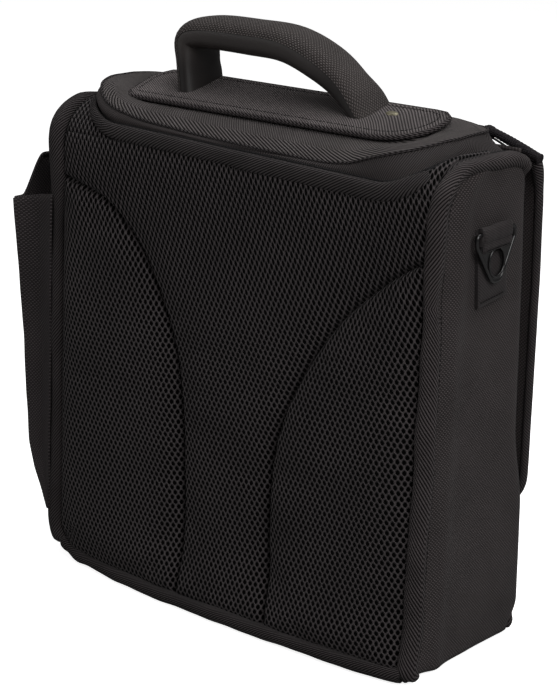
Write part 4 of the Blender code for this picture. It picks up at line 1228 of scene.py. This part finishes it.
def handle_rows(section):
    """Rows of points round the handle; section gives (across, lift) for a half thickness."""
    route = spline(ROUTE, 7)
    rows = []
    for i, (x, z, thick) in enumerate(route):
        ahead = route[min(i + 1, len(route) - 1)]
        behind = route[max(i - 1, 0)]
        along = np.array((ahead[0] - behind[0], ahead[1] - behind[1]))
        along /= np.linalg.norm(along)
        out = np.array((-along[1], along[0]))
        fade = 1.0 - rise(z, 360.0, 16.0)
        swell = 1.0 + 0.07 * rise(-x, 20.0, 50.0) - 0.10 * rise(x, 25.0, 35.0)
        shape = section(thick / 2, HANDLE_HALF_WIDTH * swell)
        row = []
        for across, lift in shape:
            px = x + out[0] * lift
            pz = z + out[1] * lift + fade * SLOPE * across
            row.append((px, HANDLE_Y + across, pz))
        rows.append(row)
    return rows


def make_handle():
    def whole(half, width):
        return oval(width, half, 40, 2.7)

    def cover(half, width):
        ring = oval(width + 0.5, half + 0.7, 120, 2.7)
        angles = np.degrees(np.arctan2(ring[:, 1] / half, ring[:, 0] / width))
        order = np.argsort(angles)
        ring, angles = ring[order], angles[order]
        keep = ring[(angles > 14.0) & (angles < 166.0)][::2]
        inner = keep[::-1] * ((width - 1.2) / width, (half - 1.2) / half)
        return np.vstack((keep, inner))

    lining = handle_rows(whole)
    run = lengths([r[0] for r in lining])
    obj = surface("handle_vinyl_body", lining, lambda r, c: (run[r], c * 2.5), LINING, None, wrap=True,
                  caps=True, flip=True)
    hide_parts("handle_lining", "handle_anchor_left", "handle_anchor_right")
    top = handle_rows(cover)
    across = lengths(cover(10.0, 18.0))
    outer = surface("handle_sleeve_cloth", top, lambda r, c: (run[r], across[c % len(across)]),
                    HANDLE_WEAVE, None, wrap=True, caps=True, flip=True)
    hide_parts("handle_sleeve")
    for piece in (obj, outer):
        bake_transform(piece)


make_handle()


# --- strap tabs and rings

def tilt_tab(x, y, z, middle, level):
    """The tab and its ring are sewn on a little askew."""
    drop = TAB_DROP - TAB_TWIST * min(max((level - z) / 48.0, 0.0), 1.0)
    return x, y - 3.2 - TAB_LEAN * (z - level), z - drop * (y - middle) + 2.0


def make_tab(side, sign):
    """Webbing tab with a rolled eye for the ring's bar; gives back the bar's place."""
    low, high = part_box("strap_tab_" + side)
    y0, y1 = low.y / MM - BACK_Y, high.y / MM - BACK_Y
    middle = (y0 + y1) / 2
    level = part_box("strap_ring_" + side)[1].z / MM - BAR_RADIUS
    outline = [(BAR_X + 3.2 * cos(radians(a)), level + 4.4 * sin(radians(a)))
               for a in range(150, 0, -18)]
    front = [(BAR_X + 3.3, level - 2.0), (BAR_X + 2.9, level - 4.6), (BAR_X + 2.2, level - 5.4),
             (BAR_X + 2.6, level - 6.6), (BAR_X + 2.7, level - 9.4), (BAR_X + 1.6, level - 12.0),
             (BAR_X - 2.6, level - 12.6)]
    patch = [(168.0, level - 13.6), (168.1, level - 30.0), (168.2, level - 46.6), (167.6, level - 48.4),
             (165.0, level - 48.0), (164.8, level - 20.0), (164.8, level + 2.0)]
    section = outline + front + patch
    columns = np.linspace(y0 + 0.2, y1 - 0.2, 22)
    rows = []
    for k, y in enumerate(columns):
        edge = min(y - y0, y1 - y)
        shrink = 0.85 if edge < 1.0 else 1.0
        soft = 0.35 * ripple(k * 0.5, level)
        # soft only in the rolled eye, above the seam
        rows.append([tilt_tab(sign * (WALL_X + (x - WALL_X) * shrink + soft * (z > level - 12.5)),
                              y, z, middle, level) for x, z in section])
    around = lengths(section, True)
    obj = surface("tab_webbing_" + side, rows, lambda r, c: (around[c], columns[r]), WEBBING, "case",
                  wrap=True, caps=True, flip=sign < 0)
    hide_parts("strap_tab_" + side)
    for k, (drop, x) in enumerate(((10.4, BAR_X + 2.5), (45.0, 168.3), (14.6, 168.1))):
        line = np.array([tilt_tab(sign * x, y, level - drop, middle, level)
                         for y in np.linspace(y0 + 2, y1 - 2, 30)])
        stitches("tab_stitches_%s_%d" % (side, k), line, (sign, 0, 0), "case", 3.0, 2.2, 0.4)
    return middle, level


def make_ring(side, sign, middle, level):
    """Cast ring: a wire-like frame that stands proud, a thin web and a raised eye."""
    def place(a, b, out=0.0):
        return tilt_tab(sign * (BAR_X + out), middle + a, level + b, middle, level)

    def tubes(name, outline, radius, out=0.0):
        path = resample([place(a, b, out) for a, b in outline], 1.2, closed=True)
        return sweep(name, path, oval(radius, radius, 12, 2.2), CAST, "ring_" + side,
                     up=(1, 0, 0), closed=True)

    outer = rounded([(-21.6, 0.0, 3.0), (21.0, 0.0, 3.0), (21.0, -7.0, 5.0),
                     (4.6, -33.6, 7.5), (-4.6, -33.6, 7.5), (-21.6, -7.0, 5.0)], 12.0)
    frame_ = tubes("ring_frame_" + side, outer, 1.35)
    eye = [(8.6 * cos(a) - 0.4, -20.5 + 9.8 * sin(a)) for a in np.arange(40) / 40 * TAU]
    tubes("ring_eye_" + side, eye, 0.9, out=0.9)
    web = rounded([(-20.6, -7.5, 2.0), (19.8, -7.5, 2.0), (4.2, -32.8, 6.0), (-4.2, -32.8, 6.0)], 12.0)
    web = resample(web, 1.2, closed=True)
    centre = np.array((-0.4, -20.5))
    rows = []
    for x in (-0.7, 0.7):
        rows.append([place(a, b, x) for a, b in web])
        ring = []
        for a, b in web:
            d = np.array((a, b)) - centre
            turn = atan2(d[1], d[0])
            ring.append(place(centre[0] + 8.6 * cos(turn), centre[1] + 9.8 * sin(turn), x))
        rows.append(ring)
    order = [rows[0], rows[1], rows[3], rows[2]]
    obj = surface("ring_web_" + side, order, lambda r, c: (c * 1.2, r * 4.0), CAST, "ring_" + side,
                  wrap=True, close=True, smooth=30.0)
    bm = bmesh.new()
    bm.from_mesh(obj.data)
    bmesh.ops.recalc_face_normals(bm, faces=bm.faces)
    bm.to_mesh(obj.data)
    bm.free()
    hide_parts("strap_ring_" + side)


for _side, _sign in SIDES:
    make_ring(_side, _sign, *make_tab(_side, _sign))


# --- side pocket

def pocket_x(z):
    """Distance of the pocket's outer panel from the middle of the case, at a height."""
    return float(np.interp(z, POCKET_Z, POCKET_OUT))


def crest(y):
    """Height of the pocket's free edge."""
    reach = min(y - POCKET_NEAR, POCKET_FAR - y)
    return POCKET_TOP + POCKET_CREST * rise(reach, 8.0, 22.0)


def make_pocket():
    """Bellows pocket: two pleated gussets and an outer panel whose free edge rises between them."""
    width = POCKET_FAR - POCKET_NEAR
    path = [(t, POCKET_NEAR, "near") for t in np.linspace(0, 1, 21)]
    path += [(1.0, POCKET_NEAR + width * t, "face") for t in np.linspace(0, 1, 44)[1:-1]]
    path += [(t, POCKET_FAR, "far") for t in np.linspace(1, 0, 21)]
    rows, marks = [], []
    run = 0.0
    last = None
    for t, y, part in path:
        row = []
        top = crest(y) if part == "face" else POCKET_TOP + 8.0 * (1 - t)
        for v in np.linspace(0, 1, 56):
            z = POCKET_FOOT + (top - POCKET_FOOT) * v
            reach = pocket_x(z)
            x = WALL_X + (reach - WALL_X) * t
            yy = y
            if part != "face":
                inward = 1.0 if part == "near" else -1.0
                pleat = (1.0 - abs(2 * t - 1) ** 1.3) * 7.5 * min((reach - WALL_X) / 40.0, 1.0)
                yy = y + inward * (pleat + 0.4 * ripple(z * 0.05 + t * 3))
            else:
                side = (y - POCKET_NEAR) / width
                x += 1.6 * sin(pi * side) * v + 0.7 * ripple(y * 0.06, z * 0.03)
                x -= 3.2 * rise(z, 264.0, 30.0) * sin(pi * side)
            row.append((-x, yy, z))
        flat = row[30]
        if last is not None:
            run += dist(flat[:2], last[:2])
        last = flat
        rows.append(row)
        marks.append(run)
    obj = surface("pocket_cloth", rows, lambda r, c: (marks[r], rows[r][c][2]), POCKET_WEAVE, "case",
                  flip=True, thick=1.3)
    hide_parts("side_pocket")
    hem = [(row[-1][0] + 0.6, row[-1][1], row[-1][2] + 0.2) for row in rows[20:-20]]
    hem = resample(hem, 1.5)
    tape = sweep("pocket_hem_tape", hem, oval(1.0, 1.3, 10), FLAP_EDGE, "case")
    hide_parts("pocket_hem")
    for name, part in (("near", rows[0:21]), ("far", rows[-21:])):
        edge = resample([row[-1] for row in part], 1.5)
        sweep("pocket_gusset_edge_" + name, edge, oval(0.8, 0.8, 8), FLAP_EDGE, "case")
    floor = [[(-(WALL_X + (pocket_x(POCKET_FOOT) - WALL_X) * t), y, POCKET_FOOT + 0.5)
              for t in np.linspace(0, 1, 4)] for y in np.linspace(-3.5, 83.5, 12)]
    surface("pocket_floor", floor, flat_uv(floor, 1, 0), POCKET_WEAVE, "case", thick=1.2)


make_pocket()


# --- front, flap and yoke

def front_y(z):
    """The plane of the front, which leans back."""
    return DEPTH_BASE + (DEPTH_TOP - DEPTH_BASE) * (z - BASE_Z) / (FRONT_TOP_Z - BASE_Z)


FLAP_PROFILE = np.array([(342.0, 99.0), (342.0, 104.5), (340.4, 110.0), (336.6, 115.0), (330.0, 119.4),
                         (318.0, 123.6), (307.0, 125.4), (250.0, 128.4), (200.0, 129.6), (165.0, 130.4),
                         (130.0, 131.8), (FLAP_FOOT, 132.4)])


def flap_half(z):
    """Half the flap's width at a height, less at its rounded lower corners."""
    drop = FLAP_CORNER - (z - FLAP_FOOT)
    if drop <= 0:
        return FLAP_HALF
    return FLAP_HALF - FLAP_CORNER + sqrt(max(FLAP_CORNER ** 2 - drop ** 2, 0.0))


def make_front():
    rows = [[(x, front_y(z) + front_swell(z) - 1.6 + 0.5 * ripple(x * 0.03, z * 0.04), z)
             for x in np.linspace(-160.5, 160.5, 60)] for z in np.linspace(5, 338, 60)]
    wall = surface("front_cloth", rows, flat_uv(rows, 0, 2), BALLISTIC, "case", flip=True, thick=3.0)
    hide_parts("front_panel")
    z0, z1 = 120.0, 284.0
    path = [(-135.0, 0.4), (-135.0, 9.0), (-133.0, 10.2)]
    path += [(x, 10.6) for x in np.linspace(-128, 128, 40)] + [(-x, d) for x, d in path[::-1]]
    rows = []
    for z in np.linspace(z0, z1, 40):
        belly = sin(pi * (z - z0) / (z1 - z0)) * 0.8
        rows.append([(x, front_y(z) + d + (belly * cos(x / 135 * 1.4) if abs(x) < 130 else 0.0), z)
                     for x, d in path])
    run = lengths(path)
    pocket = surface("front_pocket_cloth", rows, lambda r, c: (run[c], rows[r][c][2]), POCKET_WEAVE,
                     "case", flip=True, thick=1.2)
    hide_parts("front_pocket", "front_pocket_gusset")
    hem = np.array([(x, front_y(z1) + d - 0.6, z1 + 1.2) for x, d in path])
    tape = sweep("front_pocket_tape", resample(hem, 2.5), oval(1.2, 2.4, 12), BIND_TWILL, "case")
    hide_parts("front_pocket_hem")
    for side in ("left", "right"):
        for kind in ("loop", "hook"):
            node = NODES["%s_patch_%s" % (kind, side)]
            node.data.materials.clear()
            node.data.materials.append(HOOK)


def make_flap():
    """Stiff flap with its bound edge, from the yoke over the fold and down the front."""
    run = lengths(FLAP_PROFILE)
    at = np.linspace(0, run[-1], 90)
    z = np.interp(at, run, FLAP_PROFILE[:, 0])
    y = np.interp(at, run, FLAP_PROFILE[:, 1])
    soft = np.array([1, 2, 3, 2, 1]) / 9.0     # takes the corners off the profile
    z[2:-2] = np.convolve(z, soft, "valid")
    y[2:-2] = np.convolve(y, soft, "valid")
    rows = []
    for a, b in zip(z, y):
        half = flap_half(a) if a < 331 else FLAP_HALF - 2.0 * rise(a, 331, 8)
        row = []
        for t in np.linspace(-1, 1, 80):
            x = half * t
            sway = 0.7 * ripple(x * 0.035, a * 0.03) * fall(a, 331, 40)
            row.append((x, b + sway, a))
        rows.append(row)
    obj = surface("flap_cloth", rows, lambda r, c: (rows[r][c][0], at[r]), SIDE_WEAVE, None,
                  thick=2.8)
    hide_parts("flap_panel", "flap_yoke")
    edge = [rows[k][0] for k in range(2, 90)] + [rows[89][c] for c in range(1, 79)] + \
        [rows[k][-1] for k in range(89, 1, -1)]
    edge = resample(edge, 3.0) - (0, 1.4, 0)
    far = np.minimum(lengths(edge), lengths(edge)[-1] - lengths(edge))
    tape = sweep("flap_edge_tape", edge, oval(2.9, 2.7, 14), FLAP_EDGE, None, up=(0, 1, 0),
                 scale=1.0 + 0.45 * rise(far, 8.0, 8.0) * (1.0 - rise(far, 20.0, 20.0)))
    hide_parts("flap_binding")
    for piece in (obj, tape):
        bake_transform(piece)


make_front()
make_flap()


# --- hinge wall, slider and puller

def make_hinge():
    """Cloth between the front of the case and the lid, which bends as the lid opens on the real case;
    here a fixed sheet.
    """
    rows = []
    wall = [(95.2 + 1.2 * t - 2.0 * rise(t, 0.7, 0.3), 338.0 + 16.0 * t) for t in np.linspace(0, 1, 12)]
    for y, z in wall + [(93.0, 354.9), (91.0, 355.3), (88.5, 355.4), (86.0, 355.2)]:
        rows.append([(x, y, z + 0.3 * ripple(x * 0.05)) for x in np.linspace(-98, 98, 50)])
    obj = surface("hinge_cloth", rows, flat_uv(rows, 0, 2), BALLISTIC, None, flip=True, thick=2.0)
    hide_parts("lid_hinge_wall")
    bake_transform(obj)


def make_slider():
    """Zip slider, its moulded puller and the thin cord under that."""
    low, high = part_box("zip_slider")
    c = (low + high) / 2 / MM
    c = np.array((c.x, c.y - BACK_Y, c.z))
    shape = rounded([(-6, -2.6, 1.6), (6, -2.6, 2.2), (6, 2.6, 2.2), (-6, 2.6, 1.6)], 15.0)
    rows = []
    for z, k in ((-3.2, 0.84), (-2.8, 0.96), (-1.4, 1.0), (-0.9, 0.82),
                 (0.9, 0.82), (1.4, 1.0), (2.6, 0.96), (3.1, 0.84)):
        rows.append([(c[0] + x * k, c[1] + y * k, c[2] + z) for x, y in shape])
    obj = surface("zip_slider_body", rows, lambda r, c_: (c_, r), SLIDER_CAST, "zip_slider", wrap=True,
                  caps=True)
    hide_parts("zip_slider")
    route = spline([(118.5, 100.4, 347.8), (123.0, 102.4, 348.8), (129.5, 104.0, 349.6),
                    (135.0, 104.4, 348.6), (144.0, 104.4, 345.8), (157.0, 104.4, 341.4),
                    (172.0, 104.0, 336.0)], 10)
    route = resample(route, 0.9)
    run = lengths(route)
    size = 0.30 + 0.55 * rise(run, 7.0, 3.0)
    size = size + 0.32 * bell(run, 12.5, 3.0)
    size = size * (1.0 + 0.045 * np.sin(run * 2.2)) + 0.12 * rise(run, 12.0, 20.0)
    size[-4:] *= (1.08, 1.1, 0.95, 0.6)
    grip = sweep("puller_grip", route, oval(3.2, 3.2, 16), BRAID, "zip_pull", scale=size)
    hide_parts("zip_pull")
    cord = [(route[12][0], 102.6, 346.6)]
    cord += [(p[0], p[1] - 0.8, p[2] - 3.6 - 1.2 * sin(pi * i / len(route[16:-4:6])))
             for i, p in enumerate(route[16:-4:6])]
    cord += [(171.0, 103.4, 334.4)]
    cord = spline(cord, 6)
    line = sweep("puller_cord", cord, oval(0.75, 0.75, 10, 2.0), CORD, "zip_pull")
    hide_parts("zip_pull_cord")


make_hinge()
make_slider()


# --- inside

def soft_box(name, node, finish, radius):
    """Rounded block in the place of a CAD box."""
    low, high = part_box(node)
    mesh = bpy.data.meshes.new(name)
    shape = bmesh.new()
    bmesh.ops.create_cube(shape, size=1.0)
    bmesh.ops.scale(shape, vec=high - low, verts=shape.verts)
    bmesh.ops.translate(shape, vec=(low + high) / 2, verts=shape.verts)
    bmesh.ops.bevel(shape, geom=shape.edges[:], offset=radius * MM, segments=3, affect="EDGES")
    shape.to_mesh(mesh)
    shape.free()
    obj = dress(name, mesh, finish, "case", 50)
    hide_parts(node)
    return obj


def make_inside():
    for name in ("rear", "front"):
        soft_box("tray_backing_" + name, "tray_base_" + name, FOAM, 0.8)
        soft_box("tray_block_" + name, "tray_foam_" + name, FOAM, 1.8)
    soft_box("back_stiffener", "back_board", BOARD, 0.6)
    soft_box("base_stiffener", "base_board", BOARD, 0.6)


make_inside()


# --- stage, light and camera

def make_floor_look():
    """Pale floor that glows a little to the camera and throws less light back on the case."""
    look = bpy.data.materials.new("floor_white")
    look.use_nodes = True
    tree = look.node_tree
    shader = tree.nodes["Principled BSDF"]
    shader.inputs["Roughness"].default_value = 0.9
    shader.inputs["Specular IOR Level"].default_value = 0.0
    shader.inputs["Emission Color"].default_value = (1.0, 1.0, 1.0, 1.0)
    seen = tree.nodes.new("ShaderNodeLightPath").outputs["Is Camera Ray"]
    mix = tree.nodes.new("ShaderNodeMix")
    mix.data_type = "RGBA"
    mix.inputs["A"].default_value = (0.30, 0.30, 0.30, 1.0)
    mix.inputs["B"].default_value = (0.92, 0.92, 0.92, 1.0)
    tree.links.new(seen, mix.inputs["Factor"])
    tree.links.new(mix.outputs["Result"], shader.inputs["Base Color"])
    glow = tree.nodes.new("ShaderNodeMath")
    glow.operation = "MULTIPLY"
    glow.inputs[1].default_value = FLOOR_GLOW
    tree.links.new(seen, glow.inputs[0])
    tree.links.new(glow.outputs[0], shader.inputs["Emission Strength"])
    return look


def make_stage():
    mesh = bpy.data.meshes.new("floor")
    shape = bmesh.new()
    bmesh.ops.create_grid(shape, x_segments=1, y_segments=1, size=6.0)
    shape.to_mesh(mesh)
    shape.free()
    floor = put("floor", mesh)
    floor.location.z = -0.0006      # clear of the bottom cloth
    mesh.materials.append(make_floor_look())
    world = bpy.data.worlds.new("studio")
    bpy.context.scene.world = world
    world.use_nodes = True
    back = world.node_tree.nodes["Background"]
    back.inputs["Color"].default_value = (1.0, 1.0, 1.0, 1.0)
    back.inputs["Strength"].default_value = 0.12
    for name, place, size, power in (("key", (1.7, -0.7, 1.5), 1.3, 24.0),
                                     ("fill", (-1.3, -1.5, 1.1), 1.4, 7.0),
                                     ("top", (0.1, 0.4, 2.1), 1.5, 18.0)):
        light = bpy.data.lights.new(name, "AREA")
        light.size = size
        light.energy = power
        lamp = put(name, light)
        lamp.location = place
        lamp.rotation_mode = "QUATERNION"
        lamp.rotation_quaternion = (Vector((0, 0, 0.2)) - lamp.location).to_track_quat("-Z", "Y")


def make_camera():
    """The photograph's viewpoint, as solved from the straight edges of the body."""
    azimuth, elevation, roll = (radians(a) for a in (38.896, 15.685, 2.281))
    tx, ty, tz = -42.126, -186.134, 1406.908        # the case's place in the camera's own axes
    back = Vector((sin(azimuth) * cos(elevation), -cos(azimuth) * cos(elevation),
                   sin(elevation)))
    right = Vector((cos(azimuth), sin(azimuth), 0.0))
    up = back.cross(right)
    c, s = cos(roll), sin(roll)
    right, up = c * right + s * up, -s * right + c * up
    place = (-tx * right - ty * up + tz * back + Vector((0, BACK_Y, 0))) * MM
    data = bpy.data.cameras.new("camera")
    data.sensor_width = 36.0
    data.lens = 103.15
    data.clip_start = 0.05
    data.clip_end = 50.0
    camera = put("camera", data)
    camera.matrix_world = Matrix.Translation(place) @ Matrix((right, up, back)).transposed().to_4x4()
    bpy.context.scene.camera = camera


make_stage()
make_camera()
bpy.context.scene.view_settings.view_transform = "Standard"
